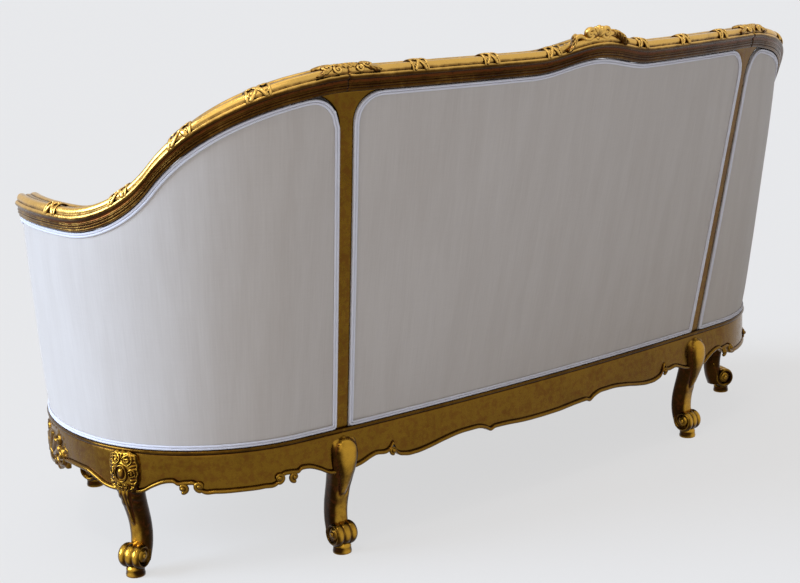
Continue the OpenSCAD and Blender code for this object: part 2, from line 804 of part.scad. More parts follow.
tacking_height = 40;
function tacking_section() = bar_section(frame_inner, frame_outer, seat_rail_top + flat_gap,
    seat_rail_top + tacking_height);
module back_tacking_rail() {
    reach = back_leg_way - post_base_width / 2 - flat_gap;
    color(raw_beech)
        skin([for (w = steps(-reach, reach, 16)) wall_ring(w, tacking_section())], bar_cap);
}
module left_tacking_rail() {
    start = post_way(seat_rail_top + tacking_height) + post_base_width / 2 + flat_gap;
    end = support_start_way(seat_rail_top + tacking_height) - flat_gap;
    color(raw_beech)
        skin([for (w = steps(start, end, 24)) wall_ring(w, tacking_section())], bar_cap);
}

// Covers and pads: u runs across a bay, from post to post or from post to arm support's front

function back_way(u, z) = u * (post_way(z) - post_width / 2);
function wing_way(u, z) =
    mix(post_way(z) + post_width / 2, support_front_way(z) - support_bead - flat_gap, u);
function corner_drop(d) =
    let (c = min(max(d, 0), panel_corner))
    panel_corner - sqrt(pow(panel_corner, 2) - pow(panel_corner - c, 2));
corner_shares = [1, 0.995, 0.98, 0.96, 0.93];
back_across_shares = concat([for (u = corner_shares) -u], steps(-0.885, 0.885, 26), flip(corner_shares));
wing_across_shares = concat([0, 0.006, 0.02, 0.04, 0.065], steps(0.1, 1, 20));
function back_top(u) =
    let (w = back_way(u, crest_top), d = back_way(1, crest_top) - abs(w))
    moulding_bottom(w) - curve_gap - corner_drop(d);
function wing_top(u) =
    let (w = wing_way(u, moulding_bottom(wing_way(u, crest_top))), d = w - wing_way(0, crest_top))
    moulding_bottom(w) - curve_gap - corner_drop(d);

panel_bottom = seat_rail_top + flat_gap;
rise_shares = [0, 0.06, 0.28, 0.5, 0.72, 0.94, 1];
back_rise_shares = [1, 0.75, 0.5, 0.25, 0];
function panel_ring(u, across, top, place) = concat(
    [for (v = rise_shares)
        let (z = mix(panel_bottom, top, v))
        wall_point(place(u, z), z, panel_crown * bulge(across, 4) * bulge(v, 4))],
    [for (v = back_rise_shares)
        let (z = mix(panel_bottom, top, v))
        wall_point(place(u, z), z, -panel_thickness)]);

panel_cap = [[0, 1, 11], [1, 2, 11], [11, 2, 10], [10, 2, 3], [10, 3, 9], [9, 3, 4], [9, 4, 8], [8, 4, 5],
    [8, 5, 6], [8, 6, 7]];
module outside_back_panel() {
    color(linen)
        skin([for (u = back_across_shares)
            panel_ring(u, (u + 1) / 2, back_top(u), function(u, z) back_way(u, z))], panel_cap);
}
module left_outside_panel() {
    color(linen)
        skin([for (u = wing_across_shares)
            panel_ring(u, u, wing_top(u), function(u, z) wing_way(u, z))], panel_cap);
}

pad_outer = frame_inner - layer_gap;
pad_bottom = seat_rail_top + flat_gap;
function pad_ring(u, across, top, place) =
    concat(
        [for (v = pad_rise_shares)
            let (z = mix(pad_bottom, top, v))
            wall_point(place(u, z), z, pad_outer - pad_edge - pad_crown * bulge(across, 4) * bulge(v, 3))],
        [wall_point(place(u, pad_bottom), pad_bottom, pad_outer), wall_point(place(u, top), top, pad_outer)]);
pad_rise_shares = [1, 0.96, 0.85, 0.65, 0.4, 0.2, 0.07, 0];
pad_cap = corner_cap(len(pad_rise_shares) + 2, 4);
function pad_back_way(u, z) = u * (post_way(z) - flat_gap);
function pad_wing_way(u, z) = mix(post_way(z) + flat_gap, support_start_way(z) - layer_gap, u);
module inside_back_pad() {
    color(linen)
        skin([for (u = back_across_shares)
            pad_ring(u, (u + 1) / 2, moulding_bottom(pad_back_way(u, crest_top)) - curve_gap,
                function(u, z) pad_back_way(u, z))], pad_cap);
}
module left_inside_pad() {
    color(linen)
        skin([for (u = wing_across_shares)
            let (w = pad_wing_way(u, moulding_bottom(pad_wing_way(u, crest_top))))
            pad_ring(u, u, moulding_bottom(w) - curve_gap, function(u, z) pad_wing_way(u, z))], pad_cap);
}

// Double welts, which run round the edge of each outside panel

// Welt section: share of its width from the panel's edge, share of its height
welt_shares = [[0, 0], [0.2, 1], [0.5, 0.55], [0.8, 1], [1, 0]];
welt_lift = 4.5 * flat_gap;
// Outlines are lists of [way, height], turning left as seen from outside
function side_heights(top) = [for (v = rise_shares) if (v > 0 && v < 1) mix(panel_bottom, top, v)];
function back_outline() =
    let (up = side_heights(back_top(1)))
    concat(
        [for (u = back_across_shares) [back_way(u, back_top(u)), back_top(u)]],
        [for (z = flip(up)) [back_way(1, z), z]],
        [for (u = steps(1, -1, 12)) [back_way(u, panel_bottom), panel_bottom]],
        [for (z = up) [back_way(-1, z), z]]);
function wing_outline() = concat(
    [for (u = wing_across_shares) [wing_way(u, wing_top(u)), wing_top(u)]],
    [for (z = flip(side_heights(wing_top(1)))) [wing_way(1, z), z]],
    [for (u = flip(wing_across_shares)) [wing_way(u, panel_bottom), panel_bottom]],
    [for (z = side_heights(wing_top(0))) [wing_way(0, z), z]]);
function unit(v) = v / norm(v);
function inset_point(outline, i, d) =
    let (n = len(outline), a = unit(outline[i] - outline[(i + n - 1) % n]),
         b = unit(outline[(i + 1) % n] - outline[i]),
         m = unit([a.y, -a.x] + [b.y, -b.x]), cosine = max(m * [a.y, -a.x], 0.5))
    outline[i] + m * d / cosine;
module welt(outline) {
    color(white_welt)
        skin([for (i = [0:len(outline) - 1])
            [for (p = welt_shares)
                let (q = inset_point(outline, i, p[0] * welt_width))
                wall_point(q[0], q[1], welt_lift + p[1] * welt_height)]],
            closed = true);
}
module back_welt() {
    welt(back_outline());
}
module left_welt() {
    welt(wing_outline());
}

// Seat: outlines run round the frame, with one inset along the wall and one at the front

seat_front_shares = [0, 0.25, 0.5, 0.72, 0.9];
seat_wall_shares = [0.96, 0.92, 0.88, 0.83, 0.78, 0.73, 0.68, 0.63, 0.58, 0.53, 0.48, 0.42, 0.36, 0.28,
    0.19, 0.1, 0];
seat_ear_shares = [0.33, 0.67];
wall_end_way = arm_support_way + support_width / 2 + layer_gap;
function seat_half(wall_inset, front_inset, end_way) = concat(
    [for (t = seat_front_shares) front_point(t * front_half_way, 0, -front_inset)],
    [for (t = seat_ear_shares) wall_point(mix(front_corner_way, end_way, t), 0, -front_inset)],
    [wall_point(end_way, 0, -front_inset), wall_point(end_way, 0, -wall_inset)],
    [for (t = seat_wall_shares) wall_point(t * wall_end_way, 0, -wall_inset)]);
function seat_ring(wall_inset, front_inset, z, end_way = wall_end_way) =
    let (half = seat_half(wall_inset, front_inset, end_way), n = len(half))
    concat(
        [for (p = half) [p.x, p.y, z]],
        [for (i = [n - 2:-1:1]) [-half[i].x, half[i].y, z]]);

deck_bottom = seat_rail_top + flat_gap;
deck_top = seat_rail_top + deck_height;
deck_crown = 7;
canvas_depth = 33;
canvas_bottom = deck_top - canvas_depth;
canvas_thickness = 2;
canvas_reach = 50;
canvas_inset = rail_back + canvas_reach;
deck_wall_inset = -pad_outer + pad_edge + pad_crown * 0.55;
deck_edge = 14;
module sprung_seat() {
    color(linen)
        skin([
            seat_ring(canvas_inset, canvas_inset, canvas_bottom + canvas_thickness + flat_gap),
            seat_ring(canvas_inset - deck_edge / 4, canvas_inset - deck_edge / 4, deck_bottom),
            seat_ring(deck_wall_inset, rail_back / 3, deck_bottom),
            seat_ring(deck_wall_inset - deck_edge / 5, rail_back / 6, mix(deck_bottom, deck_top, 0.5)),
            seat_ring(deck_wall_inset, rail_back / 3, deck_top - deck_edge),
            seat_ring(deck_wall_inset + deck_edge, rail_back / 3 + deck_edge, deck_top),
            seat_ring(deck_wall_inset + 6 * deck_edge, rail_back / 3 + 6 * deck_edge, deck_top + deck_crown)]);
}

module spring_canvas() {
    color(jute)
        skin([seat_ring(canvas_inset + layer_gap, canvas_inset + layer_gap, canvas_bottom),
            seat_ring(canvas_inset + layer_gap, canvas_inset + layer_gap, canvas_bottom + canvas_thickness)]);
}

cushion_wall_inset = -pad_outer + pad_edge + pad_crown + layer_gap;
cushion_bottom = deck_top + deck_crown + flat_gap;
cushion_top = cushion_bottom + cushion_border;
cushion_draw = 7;
cushion_front_inset = rail_back / 3;
// The cushion's front corners stay clear of the arm supports, so that it lifts straight up
cushion_end_way = wall_end_way + 2 * curve_gap;
function cushion_ring(draws, z) = seat_ring(cushion_wall_inset + draws * cushion_draw,
    cushion_front_inset + draws * cushion_draw, z, cushion_end_way);
module seat_cushion() {
    color(linen)
        skin([
            cushion_ring(8, cushion_bottom),
            cushion_ring(3, cushion_bottom + cushion_draw / 4),
            cushion_ring(0, cushion_bottom + cushion_draw),
            cushion_ring(1, mix(cushion_bottom, cushion_top, 0.5)),
            cushion_ring(0, cushion_top - cushion_draw),
            cushion_ring(3, cushion_top),
            cushion_ring(10, cushion_top + cushion_crown * 0.7),
            cushion_ring(22, cushion_top + cushion_crown)]);
}

// Webbing, springs and the dust cover

web_width = 62;
web_thickness = 1.5;
web_top = batten_bottom - flat_gap;
long_web_count = 9;
cross_web_count = 3;
cover_thickness = 1.2;
spring_rings = 6;
spring_sides = 4;
spring_row_step = 230;
spring_step = 250;
front_line_y = front_corner.y - front_bow;
spring_shift = 20;
spring_middle_y = (front_line_y + back_line_y) / 2 - spring_shift;

module seat_area(inset, bottom, height) {
    translate([0, 0, bottom])
        linear_extrude(height)
            polygon([for (p = seat_ring(inset, inset, 0)) [p.x, p.y]]);
}
module seat_webbing() {
    color(jute) {
        intersection() {
            seat_area(rail_back + layer_gap, web_top - web_thickness, web_thickness);
            for (i = [0:long_web_count - 1])
                translate([(i - (long_web_count - 1) / 2) * spring_step / 1.5 - web_width / 2, -plan_depth,
                    web_top - web_thickness])
                    cube([web_width, 2 * plan_depth, web_thickness]);
        }
        intersection() {
            seat_area(rail_back + layer_gap, web_top - 2 * web_thickness - flat_gap, web_thickness);
            for (i = [0:cross_web_count - 1])
                translate([-seat_width / 2, spring_middle_y + (i - 1) * spring_row_step / 1.4 - web_width / 2,
                    web_top - 2 * web_thickness - flat_gap])
                    cube([seat_width, web_width, web_thickness]);
        }
    }
}

spring_bottom = web_top + flat_gap;
spring_top = canvas_bottom - flat_gap;
spring_waist_share = 0.7;
module seat_springs() {
    rise = spring_top - spring_bottom - spring_wire;
    count = spring_turns * spring_rings;
    color(spring_steel)
        for (i = [0:spring_count - 1], row = [-0.5, 0.5])
            translate([(i - (spring_count - 1) / 2) * spring_step, spring_middle_y + row * spring_row_step,
                spring_bottom + spring_wire / 2])
                skin([for (k = [0:count])
                    let (t = k / count, a = 360 * k / spring_rings,
                         r = (spring_radius - spring_wire) * mix(spring_waist_share, 1, pow(2 * t - 1, 2)))
                    [for (j = [0:spring_sides - 1])
                        let (b = 360 * j / spring_sides + 45, q = r + spring_wire / 2 * cos(b))
                        [q * sin(-a), q * cos(a), rise * t + spring_wire / 2 * sin(b)]]]);
}

module dust_cover() {
    color(black_cloth)
        seat_area(rail_back + layer_gap, web_top - 2 * web_thickness - 3 * flat_gap - cover_thickness,
            cover_thickness);
}

// The right side mirrors the left
module right_wing_seat_rail() {
    mirror([1, 0, 0])
        left_wing_seat_rail();
}
module right_side_seat_rail() {
    mirror([1, 0, 0])
        left_side_seat_rail();
}
module right_back_leg() {
    mirror([1, 0, 0])
        left_back_leg();
}
module right_side_leg() {
    mirror([1, 0, 0])
        left_side_leg();
}
module right_front_corner_leg() {
    mirror([1, 0, 0])
        left_front_corner_leg();
}
module right_front_middle_leg() {
    mirror([1, 0, 0])
        left_front_middle_leg();
}
module right_back_post() {
    mirror([1, 0, 0])
        left_back_post();
}
module right_arm_rail() {
    mirror([1, 0, 0])
        left_arm_rail();
}
module right_arm_support() {
    mirror([1, 0, 0])
        left_arm_support();
}
module right_tacking_rail() {
    mirror([1, 0, 0])
        left_tacking_rail();
}
module right_outside_panel() {
    mirror([1, 0, 0])
        left_outside_panel();
}
module right_welt() {
    mirror([1, 0, 0])
        left_welt();
}
module right_inside_pad() {
    mirror([1, 0, 0])
        left_inside_pad();
}

back_seat_rail();
left_wing_seat_rail();
right_wing_seat_rail();
left_side_seat_rail();
right_side_seat_rail();
front_seat_rail();
left_back_leg();
right_back_leg();
left_side_leg();
right_side_leg();
left_front_corner_leg();
right_front_corner_leg();
left_front_middle_leg();
right_front_middle_leg();
left_back_post();
right_back_post();
crest_rail();
left_arm_rail();
right_arm_rail();
left_arm_support();
right_arm_support();
back_tacking_rail();
left_tacking_rail();
right_tacking_rail();
leg_dowels();
crest_dowels();
corner_blocks();
webbing_battens();
outside_back_panel();
left_outside_panel();
right_outside_panel();
back_welt();
left_welt();
right_welt();
inside_back_pad();
left_inside_pad();
right_inside_pad();
seat_webbing();
seat_springs();
spring_canvas();
sprung_seat();
dust_cover();
seat_cushion();
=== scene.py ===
# Looks of the cabriole sofa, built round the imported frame. Lengths are in metres, angles in radians.
import math

import bpy
import numpy as np
from mathutils import Matrix, Vector


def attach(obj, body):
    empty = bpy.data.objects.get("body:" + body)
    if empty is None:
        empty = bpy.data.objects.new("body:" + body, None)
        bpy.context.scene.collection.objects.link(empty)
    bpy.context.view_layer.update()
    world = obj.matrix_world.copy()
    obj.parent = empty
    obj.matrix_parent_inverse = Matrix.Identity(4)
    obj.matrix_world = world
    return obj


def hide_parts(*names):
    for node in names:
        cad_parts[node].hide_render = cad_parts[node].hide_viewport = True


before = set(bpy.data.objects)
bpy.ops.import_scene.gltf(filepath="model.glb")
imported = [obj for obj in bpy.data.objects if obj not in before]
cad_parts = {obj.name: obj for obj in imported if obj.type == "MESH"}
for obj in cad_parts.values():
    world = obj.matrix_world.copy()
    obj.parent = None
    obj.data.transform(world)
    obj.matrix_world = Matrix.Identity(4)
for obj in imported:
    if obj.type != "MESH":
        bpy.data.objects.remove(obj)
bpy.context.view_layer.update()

# Driving sizes, as in the part's source
seat_width = 1.955
back_radius = 8.4
corner_radius = 0.33
side_radius = 0.485
side_heading = math.radians(85)
front_heading = math.radians(152.4)
front_bow = 0.035
seat_rail_top = 0.279
crest_top = 1.033
arm_top = 0.77
crest_hump = 0.022
hump_reach = 0.175
back_slope = 0.243
arm_slope = 0.072
slope_run = 1.3
sweep_start = 0.6
sweep_run = 0.515
shoulder_radius = 0.408
back_leg_way = 0.564
side_leg_way = 1.04
arm_support_way = 1.49
front_leg_way = 0.245
post_splay = 0.042
rail_depth = 0.097
rail_back = 0.028
rail_face = 0.004
rail_bead = 0.004
post_width = 0.031
moulding_height = 0.049
moulding_depth = 0.06
moulding_proud = 0.014
support_width = 0.046
support_sweep = 0.153
leg_height = 0.262
knee_width = 0.066
knee_depth = 0.048
ankle_width = 0.045
ankle_depth = 0.042
scroll_radius = 0.027
pad_height = 0.017
pad_radius = 0.02
panel_thickness = 0.005
panel_crown = 0.005
panel_corner = 0.062
pad_edge = 0.012
pad_crown = 0.042
deck_height = 0.056
cushion_border = 0.088
cushion_crown = 0.02

flat_gap = 0.0003
layer_gap = 0.0008
curve_gap = 0.0017
seam_gap = 0.0012
knee_proud = 0.012
ornament_proud = 0.008
frame_thickness = 0.027
support_hollow = 0.014
support_depth = 0.04
support_bead = 0.008
arm_tip_reach = 0.012
tip_trim = 0.011
seam_merge = 1e-6
tiny = 1e-9
pole_radius = 0.0002
rail_step = 0.0035
mm = 0.001


# Small general functions
def smooth(t):
    c = np.clip(t, 0, 1)
    return c * c * (3 - 2 * c)


def mix(a, b, t):
    return a + (b - a) * t


def bulge(t, power):
    return 1 - np.abs(2 * t - 1) ** power


def flow(t, shares):
    """A smooth curve through [place, value] pairs."""
    xs = np.array([p[0] for p in shares], float)
    ys = np.array([p[1] for p in shares], float)
    steps = np.diff(ys) / np.diff(xs)
    slopes = np.concatenate([[steps[0]], (steps[1:] + steps[:-1]) / 2, [steps[-1]]])
    slopes[1:-1][steps[1:] * steps[:-1] <= 0] = 0
    t = np.clip(t, xs[0], xs[-1])
    i = np.clip(np.searchsorted(xs, t, side="right") - 1, 0, len(xs) - 2)
    run = xs[i + 1] - xs[i]
    s = (t - xs[i]) / run
    return ((2 * s ** 3 - 3 * s ** 2 + 1) * ys[i] + (s ** 3 - 2 * s ** 2 + s) * run * slopes[i]
            + (3 * s ** 2 - 2 * s ** 3) * ys[i + 1] + (s ** 3 - s ** 2) * run * slopes[i + 1])


def wobble(*coordinates):
    """Slow unevenness of hand work, between -1 and 1."""
    total = 0
    for k, (rate, shift) in enumerate([(1.0, 0.3), (1.7, 1.9), (2.9, 4.1), (4.3, 0.7)]):
        total = total + sum(np.sin(c * rate * (6.1 + 2.3 * j) + shift * (j + 1) + k)
                            for j, c in enumerate(coordinates)) / (k + 1.5)
    return total / (1.7 * len(coordinates))


# The plan line of the wall and of the front rail
side_centre_x = seat_width / 2 - side_radius
corner_centre_x = side_centre_x + (side_radius - corner_radius) * math.sin(side_heading)
corner_heading = math.asin(corner_centre_x / (back_radius - corner_radius))
corner_way = back_radius * corner_heading
side_way = corner_way + corner_radius * (side_heading - corner_heading)
front_corner_way = side_way + side_radius * (front_heading - side_heading)
plan_depth = (back_radius - (back_radius - corner_radius) * math.cos(corner_heading)
              + (side_radius - corner_radius) * math.cos(side_heading)
              - side_radius * math.cos(front_heading))
back_reach = back_slope * (crest_top + crest_hump - seat_rail_top) + moulding_proud + ornament_proud
front_reach = plan_depth + front_bow + rail_face + rail_bead + knee_proud
back_line_y = (front_reach - back_reach) / 2


def facing(angle):
    return np.stack([np.sin(angle), np.cos(angle)], -1)


back_centre = np.array([0, back_line_y - back_radius])
corner_centre = back_centre + (back_radius - corner_radius) * facing(corner_heading)
side_centre = corner_centre - (side_radius - corner_radius) * facing(side_heading)
front_corner = side_centre + side_radius * facing(front_heading)
front_radius = (front_corner[0] ** 2 + front_bow ** 2) / (2 * front_bow)
front_centre = np.array([0, front_corner[1] - front_bow + front_radius])
front_half_angle = math.asin(front_corner[0] / front_radius)
front_half_way = front_radius * front_half_angle
corner_turn = math.pi - front_half_angle - front_heading


def heading(way):
    return np.where(way < corner_way, way / back_radius,
                    np.where(way < side_way, corner_heading + (way - corner_way) / corner_radius,
                             side_heading + (way - side_way) / side_radius))


def wall_slope(way):
    return mix(back_slope, arm_slope, smooth(np.abs(way) / slope_run))


def wall_arc(way):
    """Radius and centre of the plan line's arc at a way along it."""
    at_back, at_corner = way < corner_way, way < side_way
    radius = np.where(at_back, back_radius, np.where(at_corner, corner_radius, side_radius))
    centre = np.where(at_back[..., None], back_centre,
                      np.where(at_corner[..., None], corner_centre, side_centre))
    return radius, centre


def wall_point(way, z, out):
    """A point of the wall: way along the plan line, height, and distance out of the wall line."""
    way, z, out = np.broadcast_arrays(np.asarray(way, float), np.asarray(z, float), np.asarray(out, float))
    a = np.abs(way)
    radius, centre = wall_arc(a)
    reach = radius + out + wall_slope(a) * np.maximum(z - seat_rail_top, 0)
    p = centre + facing(heading(a)) * reach[..., None]
    return np.stack([np.where(way < 0, -p[..., 0], p[..., 0]), p[..., 1], z], -1)


def nearest_way(points):
    """The way along the plan line that points of the wall lie at, on either side."""
    side = np.stack([np.abs(points[:, 0]), points[:, 1]], -1)
    at_back = np.arctan2(*(side - back_centre).T)
    at_corner = np.arctan2(*(side - corner_centre).T)
    at_side = np.arctan2(*(side - side_centre).T) % (2 * math.pi)
    return np.where(at_back < corner_heading, at_back * back_radius,
                    np.where((at_corner < side_heading) & (at_corner > 0),
                             corner_way + (at_corner - corner_heading) * corner_radius,
                             side_way + (at_side - side_heading) * side_radius))


def outward(points):
    """The level direction out of the wall, or out of the front rail, at points near it."""
    wall = facing(heading(nearest_way(points)))
    wall[:, 0] *= np.where(points[:, 0] < 0, -1, 1)
    ahead = points[:, :2] - front_centre
    ahead /= np.linalg.norm(ahead, axis=1, keepdims=True)
    at_front = points[:, 1] < front_corner[1] + knee_width / 2
    return np.where(at_front[:, None], -ahead * np.sign(ahead[:, 1:]), wall)


def front_point(way, z, out):
    """A point of the front rail: way from its middle, height, and distance out."""
    way, z, out = np.broadcast_arrays(np.asarray(way, float), np.asarray(z, float), np.asarray(out, float))
    p = front_centre + (front_radius + out)[..., None] * facing(math.pi - way / front_radius)
    return np.stack([p[..., 0], p[..., 1], z], -1)


def placed(points, spot, turn):
    """Points of a piece that faces +Y, put on a spot of the plan and turned to face that heading."""
    c, s = math.cos(turn), math.sin(turn)
    x = points[..., 0] * c + points[..., 1] * s + spot[0]
    y = -points[..., 0] * s + points[..., 1] * c + spot[1]
    return np.stack([x, y, points[..., 2]], -1)


# Heights of the crest and arm rail along the wall
sweep_drop = crest_top - arm_top
sweep_radii = (sweep_run ** 2 + sweep_drop ** 2) / (2 * sweep_drop)
sweep_angle = math.asin(sweep_run / sweep_radii)
arm_sweep_radius = sweep_radii - shoulder_radius
sweep_middle = sweep_start + shoulder_radius * math.sin(sweep_angle)
sweep_end = sweep_start + sweep_run
arm_tip_way = arm_support_way - support_sweep + support_width / 2 + arm_tip_reach - tip_trim
support_bottom = seat_rail_top + flat_gap
support_top = arm_top - moulding_height - flat_gap
pad_outer = -panel_thickness - curve_gap - frame_thickness - layer_gap


def hump(way):
    a = np.abs(way)
    return np.where(a < hump_reach, crest_hump * np.cos(math.pi / 2 * a / hump_reach) ** 2, 0)


def rail_height(way):
    a = np.abs(way)
    shoulder = np.sqrt(np.maximum(shoulder_radius ** 2 - (a - sweep_start) ** 2, 0))
    sweep = np.sqrt(np.maximum(arm_sweep_radius ** 2 - (sweep_end - a) ** 2, 0))
    upper = crest_top - shoulder_radius + shoulder
    lower = arm_top + arm_sweep_radius - sweep
    return np.where(a < sweep_start, crest_top + hump(a),
                    np.where(a < sweep_middle, upper, np.where(a < sweep_end, lower, arm_top)))


def moulding_bottom(way):
    return rail_height(way) - moulding_height


def post_way(z):
    return back_leg_way + post_splay * (z - seat_rail_top) / (crest_top - seat_rail_top)


def support_rise(z):
    return np.clip((z - support_bottom) / (support_top - support_bottom), 0, 1)


def support_start_way(z):
    return arm_support_way - support_sweep * support_rise(z) - support_width / 2


def support_front_way(z):
    return support_start_way(z) + support_width - support_hollow * np.sin(math.pi * support_rise(z))


crest_joint_way = post_way(crest_top)


# Making pieces
def choose(*pieces):
    """Selects pieces, with the first one active."""
    bpy.ops.object.select_all(action="DESELECT")
    for piece in pieces:
        piece.select_set(True)
    bpy.context.view_layer.objects.active = pieces[0]


def read(items, key, width, kind=np.float32):
    """Values of a mesh's points, edges or loops, as rows of that width."""
    values = np.zeros(len(items) * width, kind)
    items.foreach_get(key, values)
    return values.reshape(-1, width)


def corners_of(piece):
    return read(piece.data.vertices, "co", 3).astype(float)


def lay_map(piece, places):
    """Gives the weave its map, from a place for each point."""
    index = read(piece.data.loops, "vertex_index", 1, np.int32).ravel()
    piece.data.uv_layers.active.data.foreach_set("uv", places[index].astype(np.float32).ravel())


def face_outwards(seams):
    """Turns the active piece's faces outwards; with seams, it first merges them and fills the open ends."""
    bpy.ops.object.mode_set(mode="EDIT")
    bpy.ops.mesh.select_mode(type="VERT")
    bpy.ops.mesh.select_all(action="SELECT")
    if seams:
        bpy.ops.mesh.remove_doubles(threshold=seam_merge)
        bpy.ops.mesh.select_all(action="SELECT")
        bpy.ops.mesh.fill_holes(sides=0)
        bpy.ops.mesh.select_all(action="SELECT")
    bpy.ops.mesh.normals_make_consistent(inside=False)
    bpy.ops.object.mode_set(mode="OBJECT")


def surface(name, rings, maps=None, angle=None):
    """A closed form through rings of points: a grid whose corners move there, with both ends filled."""
    points = np.asarray(rings, float)
    points = np.concatenate([points, points[:, :1]], 1)
    rows, columns = points.shape[:2]
    bpy.ops.object.select_all(action="DESELECT")
    bpy.ops.mesh.primitive_grid_add(x_subdivisions=columns - 1, y_subdivisions=rows - 1, size=1)
    piece = bpy.context.object
    piece.name = piece.data.name = name
    piece.data.vertices.foreach_set("co", points.ravel())
    if maps is not None:
        lay_map(piece, np.concatenate([maps, maps[:, :1]], 1).reshape(-1, 2))
    piece.data.update()
    face_outwards(seams=True)
    if angle is None:
        bpy.ops.object.shade_smooth()
    else:
        bpy.ops.object.shade_smooth_by_angle(angle=math.radians(angle))
    return piece


def laid(point, rows, maps=None, name="part"):
    """A closed form whose rings of [way, height, out] lie on the wall or on the front rail."""
    return surface(name, point(rows[..., 0], rows[..., 1], rows[..., 2]), maps)


def joined(name, pieces):
    choose(*pieces)
    bpy.ops.object.join()
    piece = bpy.context.object
    piece.name = piece.data.name = name
    return piece


def run_along(line):
    """How far along a line of points each of them lies."""
    return np.concatenate([[0], np.cumsum(np.linalg.norm(np.diff(line, axis=0), axis=1))])


def strip_map(way, ring):
    return np.stack([np.full(len(ring), way), run_along(ring)], -1)


def sheet_ring(way, z, face_out, back_out):
    """A ring of points over a sheet's face and back on the wall, and its places on the weave's map."""
    place = np.stack([way, z], -1)
    ring = np.concatenate([wall_point(way, z, face_out), wall_point(way, z, back_out)[::-1]])
    return ring, np.concatenate([place, place[::-1]])


def unit_rows(rows):
    return rows / np.maximum(np.linalg.norm(rows, axis=1, keepdims=True), tiny)


def tube(path, radius, sides=10, flat=1.0, blunt=True):
    """Rings of points round a path of [way, height, out]; flat thins the tube in the out direction."""
    path = np.asarray(path, float)
    radius = np.broadcast_to(np.asarray(radius, float), (len(path),))
    ahead = unit_rows(np.gradient(path, axis=0))
    side = unit_rows(np.cross(ahead, [0, 0, 1.0]))
    lift = np.cross(side, ahead)
    if blunt:
        turns = np.radians([88, 60, 30])
        first = path[0] - ahead[0] * (radius[0] * np.sin(turns))[:, None]
        last = path[-1] + ahead[-1] * (radius[-1] * np.sin(turns[::-1]))[:, None]
        path = np.concatenate([first, path, last])
        radius = np.concatenate([radius[0] * np.cos(turns), radius, radius[-1] * np.cos(turns[::-1])])
        side, lift = [np.pad(rows, ((3, 3), (0, 0)), "edge") for rows in (side, lift)]
    turn = np.linspace(0, 2 * math.pi, sides, endpoint=False)
    return (path[:, None] + side[:, None] * (radius[:, None] * np.cos(turn))[..., None]
            + lift[:, None] * (flat * radius[:, None] * np.sin(turn))[..., None])


def spiral(centre, start, end, first, turns, count, out, rise=0.0):
    """A path that winds round a centre in the wall, from radius start to radius end."""
    t = np.linspace(0, 1, count)
    angle = first + turns * 2 * math.pi * t
    radius = start + (end - start) * t ** 0.85
    path = [centre[0] + radius * np.cos(angle), centre[1] + radius * np.sin(angle), out + rise * t]
    return np.stack(path, -1)


def lathe(profile, centre=(0, 0, 0), axis="z", count=40):
    """Rings of points for a turned shape: profile of [radius, height]."""
    turn = np.linspace(0, 2 * math.pi, count, endpoint=False)
    rows = []
    for r, h in profile:
        a, b = r * np.cos(turn), r * np.sin(turn)
        c = np.full(count, h)
        ring = {"z": (a, b, c), "x": (c, a, b)}[axis]
        rows.append(np.stack(ring, -1) + np.asarray(centre))
    return np.array(rows)


def ball(size, height):
    """Profile of a small turned ball."""
    waist = size * 2 / 3
    upper, lower = (waist, height * 0.8), (waist, -height * 0.8)
    return [(pole_radius, height), upper, (size, 0.0), lower, (pole_radius, -height)]


# Weights of the painted light: a face that looks out of the wall or up is painted lighter, one that looks
# down is painted darker.
inner_painted_light = 0.8
face_painted_light = 0.75
top_painted_light = 0.6
under_painted_shade = 0.45


def mark_relief_and_painted_light(piece, spread, strength, calm=None, focus=1.5):
    """Stores at each point its relief, 0 in a groove and 1 on an edge, and its painted light, 0 where it
    faces down.

    The painted light is brighter where the point faces out of the wall or up, and focus narrows it to a
    painted highlight. calm lowers the painted light of some points, painting shade there, and with it the
    relief is even where crest and arm meet."""
    mesh = piece.data
    points = corners_of(piece)
    normals = read(mesh.vertices, "normal", 3)
    ends = read(mesh.edges, "vertices", 2, np.int32)
    count = len(points)
    links = np.maximum(np.bincount(ends.ravel(), minlength=count), 1)
    soft = points.copy()
    for _ in range(spread):
        total = np.stack([np.bincount(ends[:, 0], soft[ends[:, 1], k], count)
                          + np.bincount(ends[:, 1], soft[ends[:, 0], k], count) for k in range(3)], -1)
        soft = soft / 2 + total / links[:, None] / 2
    height = ((points - soft) * normals).sum(1)
    relief = np.clip(0.5 + height / strength / 2, 0, 1)
    # Painted light from the facing: out of the wall and up is brighter, down is painted shade.
    across = (normals[:, :2] * outward(points)).sum(1)
    facing_out = np.maximum(across, -inner_painted_light * across)
    shine = np.clip(face_painted_light * facing_out ** focus + top_painted_light * np.maximum(normals[:, 2], 0)
                    - under_painted_shade * np.maximum(-normals[:, 2], 0), 0, 1)
    # calm lowers the painted light of some points, which paints shade there.
    if calm is not None:
        shine = shine * calm(points)
        relief = mix(relief, 0.5, np.exp(-((nearest_way(points) - crest_joint_way) / (4 * mm)) ** 2))
    for label, level in (("relief", relief), ("shine", shine)):
        attribute = mesh.attributes.new(label, "FLOAT", "POINT")
        attribute.data.foreach_set("value", level.astype(np.float32))


# Shader groups and materials
def node(tree, kind, inputs=(), **settings):
    """A node with its settings, and inputs that are values or other nodes' outputs."""
    made = tree.nodes.new(kind)
    for key, value in settings.items():
        setattr(made, key, value)
    for place, value in dict(inputs).items():
        if isinstance(value, bpy.types.NodeSocket):
            tree.links.new(value, made.inputs[place])
        else:
            made.inputs[place].default_value = value
    return made


def maths(tree, operation, *values):
    return node(tree, "ShaderNodeMath", dict(enumerate(values)), operation=operation).outputs[0]


def plus(tree, a, b):
    return maths(tree, "ADD", a, b)


def times(tree, a, b):
    return maths(tree, "MULTIPLY", a, b)


def mixed(tree, share, a, b):
    """A colour between a and b."""
    return node(tree, "ShaderNodeMix", {0: share, 6: a, 7: b}, data_type="RGBA").outputs[2]


